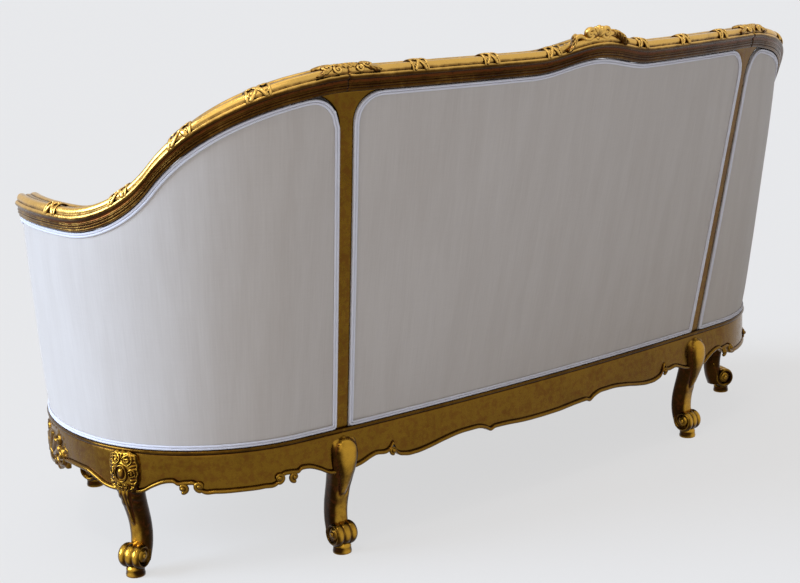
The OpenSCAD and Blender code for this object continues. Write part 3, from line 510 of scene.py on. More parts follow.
def ranged(tree, value, low, high, to_low=0.0, to_high=1.0):
    return node(tree, "ShaderNodeMapRange", {0: value, 1: low, 2: high, 3: to_low, 4: to_high},
                interpolation_type="SMOOTHSTEP").outputs[0]


def noise(tree, place, scale, detail, roughness):
    inputs = {"Vector": place, "Scale": scale, "Detail": detail, "Roughness": roughness}
    return node(tree, "ShaderNodeTexNoise", inputs).outputs["Fac"]


def stretched(tree, place, scale):
    return node(tree, "ShaderNodeMapping", {"Vector": place, "Scale": scale}).outputs[0]


def bumped(tree, strength, depth, height):
    inputs = {"Strength": strength, "Distance": depth, "Height": height}
    return node(tree, "ShaderNodeBump", inputs).outputs[0]


def new_group(name, inputs):
    """A group that puts out a colour, a roughness and a normal, and its sockets at both ends inside it."""
    group = bpy.data.node_groups.new(name, "ShaderNodeTree")
    for label, value in inputs.items():
        kind = "NodeSocketColor" if isinstance(value, tuple) else "NodeSocketFloat"
        group.interface.new_socket(name=label, in_out="INPUT", socket_type=kind).default_value = value
    for label, kind in (("Color", "Color"), ("Roughness", "Float"), ("Normal", "Vector")):
        group.interface.new_socket(name=label, in_out="OUTPUT", socket_type="NodeSocket" + kind)
    return group, group.nodes.new("NodeGroupInput").outputs, group.nodes.new("NodeGroupOutput").inputs


def put_out(group, result, colour, roughness, normal):
    for socket, value in zip(result, (colour, roughness, normal)):
        group.links.new(value, socket)


def gilding_group():
    """Leaf with painted light: bright on edges and where the stored painted light is high, as a painted
    highlight, and dull in grooves and where it is low, as painted shade; aged with umber, which is patina and
    also painted shade in the grooves, and rubbed to its red ground in places.
    """
    group, given, result = new_group("gilding", {
        "Leaf": (0.7, 0.42, 0.12, 1), "Field": (0.4, 0.22, 0.05, 1), "Umber": (0.05, 0.025, 0.01, 1),
        "Bole": (0.3, 0.07, 0.02, 1), "Rub": 0.3, "Patina": 0.5, "Grain": 1.0})
    here = node(group, "ShaderNodeTexCoord").outputs["Object"]
    relief = node(group, "ShaderNodeAttribute", attribute_name="relief").outputs["Fac"]
    shine = node(group, "ShaderNodeAttribute", attribute_name="shine").outputs["Fac"]
    cloud = noise(group, here, 11.0, 5.0, 0.62)
    speck = noise(group, here, 240.0, 4.0, 0.7)
    mottle = noise(group, here, 75.0, 6.0, 0.68)
    soft_relief = plus(group, relief, times(group, plus(group, mottle, -0.5), 0.5))
    # lit is the painted light: convex edges and the stored painted light make it high.
    lit = plus(group, times(group, soft_relief, 1.35), times(group, ranged(group, shine, 0.05, 0.95), 1.1))
    age = times(group, ranged(group, cloud, 0.35, 0.7), given["Patina"])
    leaf = maths(group, "SUBTRACT", lit, age)
    # The brighter gold where the painted light is high, the darker gold where it is low: painted highlight
    # and painted shade.
    base = mixed(group, ranged(group, leaf, 0.75, 1.8), given["Field"], given["Leaf"])
    # Where the painted light is lowest the colour goes to umber: painted shade.
    low = mixed(group, ranged(group, leaf, 1.0, 0.3), base, given["Umber"])
    specks = times(group, ranged(group, speck, 0.6, 0.72), given["Patina"])
    speckled = mixed(group, specks, low, given["Umber"])
    # Grooves turn umber: partly patina, partly painted shade.
    recess = ranged(group, soft_relief, 0.44, 0.16)
    shaded = mixed(group, times(group, recess, 0.92), speckled, given["Umber"])
    lips = times(group, ranged(group, soft_relief, 0.3, 0.4), ranged(group, soft_relief, 0.54, 0.44))
    warm = mixed(group, times(group, lips, given["Rub"]), shaded, given["Bole"])
    tops = times(group, ranged(group, soft_relief, 0.74, 0.95), ranged(group, cloud, 0.5, 0.64))
    worn = mixed(group, times(group, tops, given["Rub"]), warm, given["Bole"])
    rough = plus(group, ranged(group, mottle, 0.3, 0.7, 0.16, 0.34), times(group, recess, 0.35))
    height = plus(group, times(group, mottle, 0.6), times(group, speck, 0.4))
    put_out(group, result, worn, rough, bumped(group, 0.35, 0.0006, times(group, height, given["Grain"])))
    return group


def cloth_group():
    """Plain weave with slubs that run along the piece's upright map direction."""
    group, given, result = new_group("woven cloth", {
        "Pale": (0.7, 0.68, 0.64, 1), "Deep": (0.55, 0.52, 0.48, 1), "Threads": 1500.0, "Slub": 1.0})
    place = node(group, "ShaderNodeUVMap").outputs[0]
    slub = noise(group, stretched(group, place, (320.0, 9.0, 1.0)), 1.0, 4.0, 0.65)
    weft = noise(group, stretched(group, place, (14.0, 520.0, 1.0)), 1.0, 3.0, 0.6)
    cloud = noise(group, stretched(group, place, (26.0, 3.0, 1.0)), 1.0, 5.0, 0.55)
    threads = plus(group, times(group, ranged(group, weft, 0.25, 0.75), 0.15),
                   times(group, ranged(group, cloud, 0.3, 0.7), 0.4))
    tone = plus(group, times(group, ranged(group, slub, 0.25, 0.75), 0.45), threads)
    parts = node(group, "ShaderNodeSeparateXYZ", {0: place}).outputs
    warp_wave, weft_wave = [maths(group, "SINE", times(group, parts[k], given["Threads"])) for k in (0, 1)]
    weave = times(group, times(group, warp_wave, weft_wave), 0.25)
    height = plus(group, weave, times(group, slub, given["Slub"]))
    put_out(group, result, mixed(group, tone, given["Deep"], given["Pale"]),
            ranged(group, slub, 0.3, 0.7, 0.72, 0.86), bumped(group, 0.3, 0.0005, height))
    return group


def plain_group(name, low, high, scale, stretch, rough):
    """Stained or grained stuff on object coordinates: beech, jute, black cloth and wire."""
    group, given, result = new_group(name, {"Low": low, "High": high, "Depth": 1.0})
    here = node(group, "ShaderNodeTexCoord").outputs["Object"]
    grain = noise(group, stretched(group, here, stretch), scale, 6.0, 0.6)
    colour = mixed(group, ranged(group, grain, 0.3, 0.7), given["Low"], given["High"])
    normal = bumped(group, 0.4, 0.0006, times(group, grain, given["Depth"]))
    put_out(group, result, colour, ranged(group, grain, 0.3, 0.7, *rough), normal)
    return group


def material(name, group, values, **settings):
    made = bpy.data.materials.new(name)
    made.use_nodes = True
    tree = made.node_tree
    shader = tree.nodes["Principled BSDF"]
    for key, value in settings.items():
        shader.inputs[key.replace("_", " ").title()].default_value = value
    effect = node(tree, "ShaderNodeGroup", values, node_tree=group)
    for output, place in (("Color", "Base Color"), ("Roughness", "Roughness"), ("Normal", "Normal")):
        tree.links.new(effect.outputs[output], shader.inputs[place])
    return made


gilding = gilding_group()
# Three copies of one gilding, each with its own painted light: a lit copy for the mouldings, arm supports and
# front carvings, a copy with a narrow painted highlight and deep painted shade for the legs, and a painted
# shade copy for the posts, the seat rails and the carvings on the back and sides. In each, the first gold
# colour shows where the painted light is high and the second where it is low.
bright_gilt = material("bright_gilt", gilding, {
    "Leaf": (0.75, 0.45, 0.11, 1), "Field": (0.085, 0.037, 0.006, 1), "Umber": (0.02, 0.008, 0.002, 1),
    "Bole": (0.17, 0.045, 0.011, 1), "Rub": 0.4, "Patina": 0.3, "Grain": 0.8}, metallic=1.0)
dark_gilt = material("dark_gilt", gilding, {
    "Leaf": (0.5, 0.27, 0.03, 1), "Field": (0.042, 0.018, 0.0025, 1), "Umber": (0.008, 0.003, 0.001, 1),
    "Bole": (0.13, 0.035, 0.008, 1), "Rub": 0.3, "Patina": 0.25, "Grain": 0.7}, metallic=1.0)
shaded_gilt = material("shaded_gilt", gilding, {
    "Leaf": (0.185, 0.095, 0.011, 1), "Field": (0.09, 0.042, 0.005, 1), "Umber": (0.018, 0.007, 0.002, 1),
    "Bole": (0.12, 0.035, 0.009, 1), "Rub": 0.4, "Patina": 0.3, "Grain": 0.9}, metallic=1.0)

weaving = cloth_group()
cover_fabric = material("cover_fabric", weaving, {
    "Pale": (0.565, 0.512, 0.466, 1), "Deep": (0.48, 0.424, 0.377, 1), "Threads": 5200.0, "Slub": 1.0},
    sheen_weight=0.25, sheen_roughness=0.5)
welt_fabric = material("welt_fabric", weaving, {
    "Pale": (0.72, 0.71, 0.755, 1), "Deep": (0.63, 0.61, 0.655, 1), "Threads": 4200.0, "Slub": 0.6},
    sheen_weight=0.2, sheen_roughness=0.5)

even = (1.0, 1.0, 1.0)
beech = material("raw_beech", plain_group(
    "beech grain", (0.42, 0.26, 0.13, 1), (0.62, 0.44, 0.26, 1), 60.0, (0.3, 1.0, 3.0), (0.55, 0.75)),
    {"Depth": 1.0})
jute = material("jute_cloth", plain_group(
    "jute weave", (0.3, 0.21, 0.1, 1), (0.52, 0.39, 0.22, 1), 420.0, even, (0.85, 0.95)),
    {"Depth": 2.0})
black_cloth = material("black_cloth", plain_group(
    "black weave", (0.012, 0.012, 0.013, 1), (0.035, 0.034, 0.035, 1), 700.0, even, (0.8, 0.95)),
    {"Depth": 1.5})
steel = material("spring_wire", plain_group(
    "wire skin", (0.2, 0.2, 0.21, 1), (0.42, 0.42, 0.44, 1), 90.0, even, (0.3, 0.5)),
    {"Depth": 0.6}, metallic=0.9)


def coat(piece, stuff):
    """Gives a piece its material and the slot that goes with it."""
    piece.data.materials.clear()
    piece.data.materials.append(stuff)


def dress(piece, stuff, instead=(), relief=None, body="frame"):
    """Gives a finished piece its relief and painted light marks, material, slot and body, and the solids that
    it replaces.
    """
    if relief:
        mark_relief_and_painted_light(piece, *relief)
    coat(piece, stuff)
    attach(piece, body)
    if instead:
        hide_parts(*instead)
    return piece


def both_sides(name, make, stuff, instead=(), relief=None):
    """Makes a piece for the left side and its mirror image for the right side."""
    made = []
    for side in ("left", "right"):
        piece = make(side + "_" + name)
        if side == "right":
            choose(piece)
            piece.scale = (-1, 1, 1)
            bpy.ops.object.transform_apply(location=False, rotation=False, scale=True)
            face_outwards(seams=False)
        made.append(dress(piece, stuff, [side + "_" + solid for solid in instead], relief))
    return made


# Crest and arm moulding
def arc(centre_out, centre_drop, radius, first, last, count):
    turn = np.radians(np.linspace(first, last, count))
    return np.stack([centre_out + radius * np.cos(turn), centre_drop + radius * np.sin(turn)], -1)


# Members of the moulding, in mm and degrees: centre out and up, radius, first and last angle, points
moulding_members = [
    (13.6, -10.6, 10.6, 140, -2, 16), (23.6, -20.2, 6.4, 84, -52, 12), (31.5, -28.4, 6.0, 150, 218, 7),
    (24.0, -34.2, 2.6, 60, -66, 7), (24.6, -39.2, 2.4, 62, -62, 7), (21.0, -44.7, 4.3, 56, -90, 10)]
moulding_middle = moulding_proud - moulding_depth / 2
tip_run = moulding_depth / 2
tip_drop = 0.22
tip_close = 0.25


def moulding_ring():
    """Section of the moulding, from its top middle down: out of its middle line, and up from its top."""
    outer = mm * np.concatenate([[[0, -2.6], [1.5, -2.2]]] + [arc(*member) for member in moulding_members])
    inner = outer[::-1] * np.array([-1, 1])
    bottom = np.linspace(outer[-1], inner[0], 6)[1:-1]
    return np.concatenate([outer, bottom, inner[:-1]])


def moulding(name, ways):
    """The moulding on the wall's top line, rounded off where it comes to the arm's tip."""
    ring = moulding_ring()
    rows, maps = [], []
    for way in ways:
        past = max(way - arm_tip_way + tip_run, 0) / tip_run
        narrow = math.sqrt(max(1 - past ** 2, 0.0004))
        low = 1 - tip_drop * past ** 2 - tip_close * max(past - 0.85, 0) / 0.15
        out = moulding_middle + ring[:, 0] * narrow
        drop = -moulding_height + (ring[:, 1] + moulding_height) * low
        uneven = 0.4 * mm * wobble(way * 9, np.arange(len(ring)) * 0.15)
        rows.append(wall_point(way, rail_height(way) + drop + uneven, out + uneven))
        maps.append(strip_map(way, ring))
    return surface(name, rows, np.array(maps))


def under_reeds(points):
    """1 on the moulding's two upper reeds, less on the members under them, which get painted shade, less so
    along the arm.
    """
    way = nearest_way(points)
    drop = (rail_height(way) - points[:, 2]) / moulding_height
    along_arm = smooth((way - crest_joint_way) / (arm_tip_way - crest_joint_way))
    return mix(1.0, mix(0.15, 0.5, along_arm), smooth((drop - 0.26) / 0.2))


wrap_radius = 0.0205
wrap_middle = (0.0075, -0.0185)


def wrap_point(way, turn, lift):
    """A point over the moulding's two upper reeds: way, angle from outwards to up, and height over them."""
    reach = wrap_radius + lift
    return wall_point(way, rail_height(way) + wrap_middle[1] + reach * np.sin(turn),
                      moulding_middle + wrap_middle[0] + reach * np.cos(turn))


def wrap_tube(path, radius, flat=0.8):
    """A tube laid over the moulding, along a path of [way, girth, lift]."""
    rows = tube(path, radius, 8, flat)
    return surface("part", wrap_point(rows[..., 0], rows[..., 1] / wrap_radius, rows[..., 2]))


leaf_lobe_depth = 0.28
leaf_vein_share = 0.16
leaf_ridge_share = 0.35


def leaf(length, width, middle, way, lobes=5, height=0.0035, lean=0.0):
    """A carved leaf over the moulding, with lobed edges and a veined back."""
    s, t = np.meshgrid(np.linspace(0, 1, 40), np.linspace(-1, 1, 17), indexing="ij")
    outline = np.sin(math.pi * s ** 0.8) ** 0.7 + 0.02
    lobe = 1 - leaf_lobe_depth * np.abs(np.sin(math.pi * lobes * s)) ** 3
    half = width / 2 * outline * lobe
    lift = height * (1 - np.abs(t) ** 3) * (0.55 + 0.45 * np.sin(math.pi * s) ** 0.5)
    veins = leaf_vein_share * height * np.cos(2 * math.pi * lobes * (s + 0.18 * np.abs(t)))
    ridge = leaf_ridge_share * height * np.exp(-(t / 0.14) ** 2)
    top = lift + veins * (np.abs(t) > 0.1) + ridge
    place = way + (s - 0.5) * length
    turn = middle + lean * (s - 0.5) + t * half / wrap_radius
    upper = wrap_point(place, turn, top)
    under = wrap_point(place[:, ::-1], turn[:, ::-1], np.full_like(top, -0.003))
    return surface("part", np.concatenate([upper, under[:, 1:-1]], 1))


tie_ribbon_reach = 11 * mm
tie_ribbon_radius = 3.4 * mm
tie_rim_reach = 16.5 * mm
tie_rim_radius = 2.4 * mm
tie_eye_reach = 10.5 * mm


def tie(way):
    """A short crossed ribbon with small scrolls, wrapped over the two upper reeds."""
    pieces = []
    for lean in (-1, 1):
        t = np.linspace(-1, 1, 22)
        girth = np.linspace(0.2, 2.3, 22) * wrap_radius
        path = np.stack([way + lean * tie_ribbon_reach * t, girth, np.full(22, 0.8 * mm)], -1)
        pieces.append(wrap_tube(path, tie_ribbon_radius))
    for side in (-1, 1):
        girth = np.linspace(0.1, 2.35, 20) * wrap_radius
        rim = np.stack([np.full(20, way + side * tie_rim_reach), girth, np.full(20, 0.4 * mm)], -1)
        pieces.append(wrap_tube(rim, tie_rim_radius))
        for turn in (1.62, 0.62):
            eye = (way + side * tie_eye_reach, turn * wrap_radius)
            path = spiral(eye, 4.68 * mm, 1.2 * mm, math.pi / 2 - side * 0.5, -side * 1.1, 16, 1.2 * mm, mm)
            pieces.append(wrap_tube(path, np.linspace(1.89, 1.26, 16) * mm, 0.9))
    knot = mm * lathe([(0.2, 4.2), (2.4, 3.7), (4.2, 2.1), (4.8, 0.0), (4.6, -3), (0.2, -3)], count=16)
    knot_turn = 1.12 + knot[..., 1] / wrap_radius
    pieces.append(surface("part", wrap_point(way + knot[..., 0], knot_turn, knot[..., 2])))
    return joined("tie", pieces)


crest_tie_shares = [0.22, 0.48, 0.75]
arm_tie_shares = [0.201, 0.356, 0.504, 0.727]
arm_reach = arm_tip_way - crest_joint_way
ornament_shift = 0.014


def crest_ornament():
    """Two bold scrolls with a shell of upright flutes between them and leaves that trail to both sides."""
    top = float(crest_top + crest_hump)
    face = moulding_middle + 0.016
    pieces = []

    def put(rows):
        pieces.append(laid(wall_point, rows + np.array([ornament_shift, 0.004, 0])))

    scroll_set, scroll_reach, scroll_eye = 0.024, 0.0135, 0.003
    for side in (-1, 1):
        eye = (side * scroll_set, top + 0.002)
        path = spiral(eye, scroll_reach, scroll_eye, math.pi / 2 - side * 2.6, -side * 1.4, 44, face, 0.004)
        put(tube(path, np.linspace(0.0062, 0.0044, 44), 10, 1.5))
        put(lathe(ball(0.0048, 0.006), (eye[0], eye[1], face + 0.004), "z", 14))
        t = np.linspace(0, 1, 30)
        path = np.stack([side * (0.034 + 0.05 * t), top - 0.008 - 0.006 * t + 0.006 * np.sin(t * 5.5),
                         face - 0.001 - 0.003 * t], -1)
        put(tube(path, np.interp(t, [0, 0.3, 1], [0.0064, 0.006, 0.0032]), 10, 1.1))
        for k in range(4):
            way = ornament_shift + side * (0.05 + 0.009 * k)
            pieces.append(leaf(0.03 - 0.003 * k, 0.019, 1.75 - 0.42 * k, way, 3, 0.0085, -side * 0.6))
        bud = [(pole_radius, 0.005), (0.0028, 0.0042), (0.0044, 0.0015), (0.0046, -0.003),
               (pole_radius, -0.004)]
        for k in range(3):
            put(lathe(bud, (side * (0.009 + 0.011 * k), top - 0.0155 - 0.001 * k, face + 0.003), "z", 12))
    for k in range(5):
        turn = math.radians(90 - (k - 2) * 27)
        t = np.linspace(0, 1, 14)
        path = np.stack([np.cos(turn) * (0.003 + 0.018 * t),
                         top - 0.008 + np.sin(turn) * (0.003 + 0.0185 * t),
                         face + 0.001 + 0.003 * np.sin(t * 2.6)], -1)
        put(tube(path, np.interp(t, [0, 0.7, 1], [0.003, 0.006, 0.005]), 10, 1.3))
    boss = [(pole_radius, 0.007), (0.0036, 0.006), (0.0056, 0.003), (0.006, -0.004), (pole_radius, -0.005)]
    put(lathe(boss, (0, top - 0.01, face + 0.002), "z", 18))
    return joined("crest_ornament", pieces)


moulding_relief = (16, 0.0028, under_reeds)
crest_ways = np.linspace(-crest_joint_way, crest_joint_way, 170)
dress(moulding("crest_moulding", crest_ways), bright_gilt, ["crest_rail"], moulding_relief)
dress(crest_ornament(), bright_gilt, relief=(5, 0.0022))
crest_ties = [tie(side * share * crest_joint_way) for share in crest_tie_shares for side in (-1, 1)]
dress(joined("crest_ties", crest_ties), bright_gilt, relief=(4, 0.002))


def arm_moulding(name):
    tip_ways = arm_tip_way - tip_run + tip_run * np.sin(np.linspace(0, math.pi / 2, 14))
    return moulding(name, np.concatenate([np.linspace(crest_joint_way, tip_ways[0], 130)[:-1], tip_ways]))


def arm_ties(name):
    """The arm's ties, and the scrolls and leaves over the post."""
    pieces = [tie(crest_joint_way + share * arm_reach) for share in arm_tie_shares]
    for side in (-1, 1):
        for reach, turn, size in ((0.018, 1.75, 0.0095), (0.04, 1.2, 0.0105), (0.022, 0.75, 0.0085)):
            eye = (crest_joint_way + side * reach, turn * wrap_radius)
            path = spiral(eye, size, 0.002, math.pi / 2 - side * 0.7, -side * 1.25, 30, 0.0012, 0.0014)
            pieces.append(wrap_tube(path, np.linspace(0.0032, 0.0022, 30), 0.9))
        for reach, turn, lean in ((0.046, 1.85, 0.5), (0.05, 0.7, -0.5)):
            pieces.append(leaf(0.034, 0.014, turn, crest_joint_way + side * reach, 3, 0.0042, side * lean))
    pieces.append(leaf(0.05, 0.02, 1.3, crest_joint_way, 5, 0.0045))
    return joined(name, pieces)


both_sides("arm_moulding", arm_moulding, bright_gilt, ["arm_rail"], moulding_relief)
both_sides("arm_ties", arm_ties, bright_gilt, relief=(4, 0.002))


# Posts
def post(name):
    """A back post that flares where it meets the moulding, with a slightly rounded, uneven face."""
    bottom = seat_rail_top + flat_gap
    shoulder = 1 - panel_corner / (crest_top - seat_rail_top)
    levels = np.concatenate([np.linspace(0, shoulder, 60)[:-1], np.linspace(shoulder, 1, 26)])
    top = float(moulding_bottom(back_leg_way)) - flat_gap
    across = np.linspace(-1, 1, 25)
    rings = []
    for level in levels:
        z = mix(bottom, top, level)
        near = max(0.0, (z - (top - panel_corner)) / panel_corner)
        flare = panel_corner * (1 - math.sqrt(max(1 - min(near, 0.999) ** 2, 0)))
        front = post_way(z) + across * (post_width / 2 - seam_gap + flare)
        height = np.minimum(z, moulding_bottom(front) + 0.004)
        out = 0.0012 * (1 - np.abs(across) ** 6) + 0.0002 * wobble(height * 20, front * 40)
        rings.append(sheet_ring(front, height, out, -panel_thickness))
    rows, maps = zip(*rings)
    return surface(name, rows, np.array(maps), 40)


both_sides("post", post, shaded_gilt, ["back_post"], (10, 0.004))

# Seat rails: lower edges as [share from the rail's middle to its leg, share of the rail's depth]
back_edge_shares = [
    [0, 0.985], [0.1, 0.975], [0.2, 0.935], [0.262, 0.925], [0.284, 0.965], [0.31, 0.89],
    [0.36, 0.82], [0.42, 0.82], [0.52, 0.88], [0.6, 0.96], [0.665, 1], [0.72, 0.98],
    [0.76, 0.86], [0.775, 0.66], [0.79, 0.78], [0.86, 0.8], [0.93, 0.93], [1, 0.98]]
leg_edge_shares = [[0.75, 0.83], [0.84, 0.95], [1, 0.98]]
wing_edge_shares = [[0, 0.95], [0.2, 0.945], [0.33, 0.9], [0.36, 0.78], [0.45, 0.74], [0.52, 0.76],
                    [0.56, 0.7], [0.64, 0.72]] + leg_edge_shares
drop_edge_shares = [[0, 1.1], [0.1, 1.06], [0.17, 0.97], [0.25, 0.88], [0.35, 0.79], [0.5, 0.74],
                    [0.64, 0.74]] + leg_edge_shares
wing_middle = (back_leg_way + side_leg_way) / 2
wing_half = (side_leg_way - back_leg_way) / 2
side_middle = (side_leg_way + front_corner_way) / 2
side_half = (front_corner_way - side_leg_way) / 2
front_bay_half = (front_half_way - front_leg_way) / 2
front_bay_middle = (front_half_way + front_leg_way) / 2


def rail_low(shares, t):
    return seat_rail_top - rail_depth * flow(np.abs(t), shares)


def rail_ring(low):
    """Section of a seat rail from its top down: [out, height]."""
    top_bead = arc(rail_face + 0.2 * mm, seat_rail_top - 4.2 * mm, 4.0 * mm, 105, -72, 10)
    groove = [[rail_face - 1.2 * mm, seat_rail_top - 9.4 * mm]]
    t = np.linspace(0, 1, 14)
    heights = mix(seat_rail_top - 11.5 * mm, low + 11.5 * mm, t)
    field = np.stack([rail_face + 0.6 * mm * np.sin(math.pi * t), heights], -1)
    low_groove = [[rail_face - 1.0 * mm, low + 9.6 * mm]]
    low_bead = arc(rail_face + 0.4 * mm, low + 4.4 * mm, 4.3 * mm, 72, -90, 10)
    back = [[-rail_back / 2, low], [-rail_back, low], [-rail_back, seat_rail_top - mm],
            [-rail_back + mm, seat_rail_top], [-rail_back / 2, seat_rail_top]]
    return np.concatenate([top_bead, groove, field, low_groove, low_bead, back])


def rail(name, ways, low, point):
    rows, maps = [], []
    for way, edge in zip(ways, low):
        ring = rail_ring(edge)
        uneven = 0.3 * mm * wobble(way * 14, ring[:, 1] * 30)
        rows.append(point(way, ring[:, 1], ring[:, 0] + uneven))
        maps.append(strip_map(way, ring))
    return surface(name, rows, np.array(maps), 50)


def bay_shares(half):
    """Shares of a bay's half length, from -1 to 1, a rail step apart."""
    return np.linspace(-1, 1, int(2 * half / rail_step) + 2)


def wall_rail(name, middle, half, shares):
    t = bay_shares(half)
    return rail(name, middle + t * half, rail_low(shares, t), wall_point)


def quiet_top(points):
    """1 on a seat rail, less on its top bead, whose painted light it lowers so that the bead renders darker.
    """
    return mix(1.0, 0.35, smooth((points[:, 2] - seat_rail_top + 0.014) / 0.006))


rail_relief = (5, 0.0022, quiet_top)
dress(wall_rail("back_rail", 0, back_leg_way, back_edge_shares), shaded_gilt, ["back_seat_rail"], rail_relief)
both_sides("wing_rail", lambda name: wall_rail(name, wing_middle, wing_half, wing_edge_shares), shaded_gilt,
           ["wing_seat_rail"], rail_relief)
both_sides("side_rail", lambda name: wall_rail(name, side_middle, side_half, drop_edge_shares), shaded_gilt,
           ["side_seat_rail"], rail_relief)

front_ways = bay_shares(front_half_way) * front_half_way
front_low = np.where(np.abs(front_ways) < front_leg_way,
                     rail_low(drop_edge_shares, front_ways / front_leg_way),
                     rail_low(wing_edge_shares, (np.abs(front_ways) - front_bay_middle) / front_bay_half))
dress(rail("front_rail", front_ways, front_low, front_point), shaded_gilt, ["front_seat_rail"], rail_relief)


edge_scroll_reach = 0.0105
edge_scroll_eye = 0.0026
edge_scroll_turns = 1.05
edge_scroll_thick = np.linspace(0.0052, 0.004, 30)
end_radius = 0.0058


def edge_scrolls(name, point, spots):
    """Ball-ended scrolls on a rail's lower edge: a spot is [way, share of the rail's depth, side, size]."""
    pieces = []
    out = rail_face + 0.002
    for way, share, side, size in spots:
        height = seat_rail_top - share * rail_depth
        path = spiral((way, height), edge_scroll_reach * size, edge_scroll_eye * size, -math.pi / 2,
                      side * edge_scroll_turns, len(edge_scroll_thick), out, 0.002)
        pieces.append(laid(point, tube(path, edge_scroll_thick * size, 10, 0.95)))
        waist, rise = 0.0036, 0.0046
        end = [(pole_radius, end_radius), (waist, rise), (end_radius, 0), (waist, -rise),
               (pole_radius, -end_radius)]
        pieces.append(laid(point, lathe(end, (way, height, out + 0.003), "z", 16)))
    return joined(name, pieces)


def bay_spots(middle, half):
    """A facing pair of scrolls near both ends of a bay's middle field."""
    spots = []
    for side in (-1, 1):
        spots.append([middle + side * 0.338 * half, 0.76, side, 0.95])
        spots.append([middle + side * 0.475 * half, 0.8, -side, 0.9])
    return spots


scroll_relief = (4, 0.0025)
both_sides("wing_scrolls", lambda name: edge_scrolls(name, wall_point, bay_spots(wing_middle, wing_half)),
           shaded_gilt, relief=scroll_relief)
back_spots = [[side * 0.777 * back_leg_way, 0.78, side, 0.75] for side in (-1, 1)]
dress(edge_scrolls("back_scrolls", wall_point, back_spots), shaded_gilt, relief=scroll_relief)
front_spots = bay_spots(-front_bay_middle, front_bay_half) + bay_spots(front_bay_middle, front_bay_half)
dress(edge_scrolls("front_scrolls", front_point, front_spots), bright_gilt, relief=scroll_relief)

# Legs: height, reach from ankle to knee, and width and depth from ankle to knee
leg_shares = [[0.1, 0.35, -0.1, -0.2], [0.2, 0.1, -0.02, 0], [0.3, 0, 0, 0], [0.4, 0.07, 0.04, 0.06],
              [0.5, 0.28, 0.15, 0.2], [0.62, 0.62, 0.42, 0.5], [0.74, 0.92, 0.82, 0.7], [0.84, 1, 1, 1],
              [0.92, 0.98, 0.92, 0.5], [0.975, 0.88, 0.66, -1], [1.0, 0.76, 0.1, -2.2]]
ankle_set = -0.036
knee_set = rail_face + rail_bead + knee_proud - knee_depth / 2
pad_set = -0.016
foot_radius = scroll_radius * 1.12
toe_out = 0.009
foot_middle = pad_height + foot_radius - 0.002
scroll_width = ankle_width * 1.12


def leg_flow(level, column):
    return flow(level, [[shares[0], shares[column]] for shares in leg_shares])


def leg_surface(carved):
    """Stem and knee of a leg that faces +Y, as rings of points from the ankle up."""
    levels = np.linspace(0.1, 1.0, 130)
    turn = np.linspace(0, 2 * math.pi, 72, endpoint=False)
    across_power, deep_power = (0.85, 0.9) if carved else (0.6, 0.62)
    knee = knee_carving if carved else knee_shield
    c, s = np.cos(turn), np.sin(turn)
    rows = []
    for level, reach, wide, deep in zip(levels, *[leg_flow(levels, column) for column in (1, 2, 3)]):
        half_width = mix(ankle_width, knee_width, wide) / 2
        half_depth = max(mix(ankle_depth, knee_depth, deep) / 2, 0.004)
        x = half_width * np.sign(c) * np.abs(c) ** across_power
        y = half_depth * np.sign(s) * np.abs(s) ** deep_power
        y = y + np.clip(s, 0, 1) ** 0.5 * knee(x / half_width, level)
        z = np.full_like(x, level * leg_height)
        rows.append(np.stack([x, mix(ankle_set, knee_set, reach) + y, z], -1))
    return np.array(rows)


shield_rise = 0.0052
shield_rim = 0.0016
cheek_hollow = 0.003


def knee_shield(across, level):
    """A plain swollen drop, round at its top and drawn to a point at its foot, with hollowed cheeks."""
    low, shoulder, top = 0.46, 0.85, 0.985
    rise = np.clip((level - low) / (shoulder - low), 0, 1)
    upper = np.clip((level - shoulder) / (top - shoulder), 0, 1)
    half = (0.1 + 0.72 * rise ** 0.8) * math.sqrt(1 - upper ** 2) + 0.001
    side = np.abs(across) / half
    dome = np.sqrt(np.maximum(1 - side ** 2, 0)) * smooth((level - low) * 9)
    rim = np.exp(-((side - 1.06) / 0.09) ** 2) * smooth((level - low) * 9) * (upper < 1)
    return shield_rise * dome + shield_rim * rim - cheek_hollow * (side > 1) * smooth((level - low) * 10)


def knee_carving(across, level):
    """Shell-like flutes at the knee's edges and a husk that hangs from its middle."""
    low, high = 0.4, 0.76
    carved = smooth((level - 0.52) * 8) * smooth((0.99 - level) * 16)
    flutes = 0.0013 * np.sin(level * 95 + 3.0 * np.abs(across)) * smooth((np.abs(across) - 0.45) * 5)
    half = 0.06 + 0.42 * np.clip((level - low) / (high - low), 0, 1)
    husk = smooth((half - np.abs(across)) * 9) * smooth((level - low) * 18) * smooth((high - level) * 16)
    veins = np.cos(across / np.maximum(half, 0.05) * 7.5)
    return carved * flutes + husk * (0.004 + 0.0018 * veins)


foot_start = math.radians(168)
foot_roll = math.radians(640)
strip_depth = 0.0125
lead_depth = 0.008


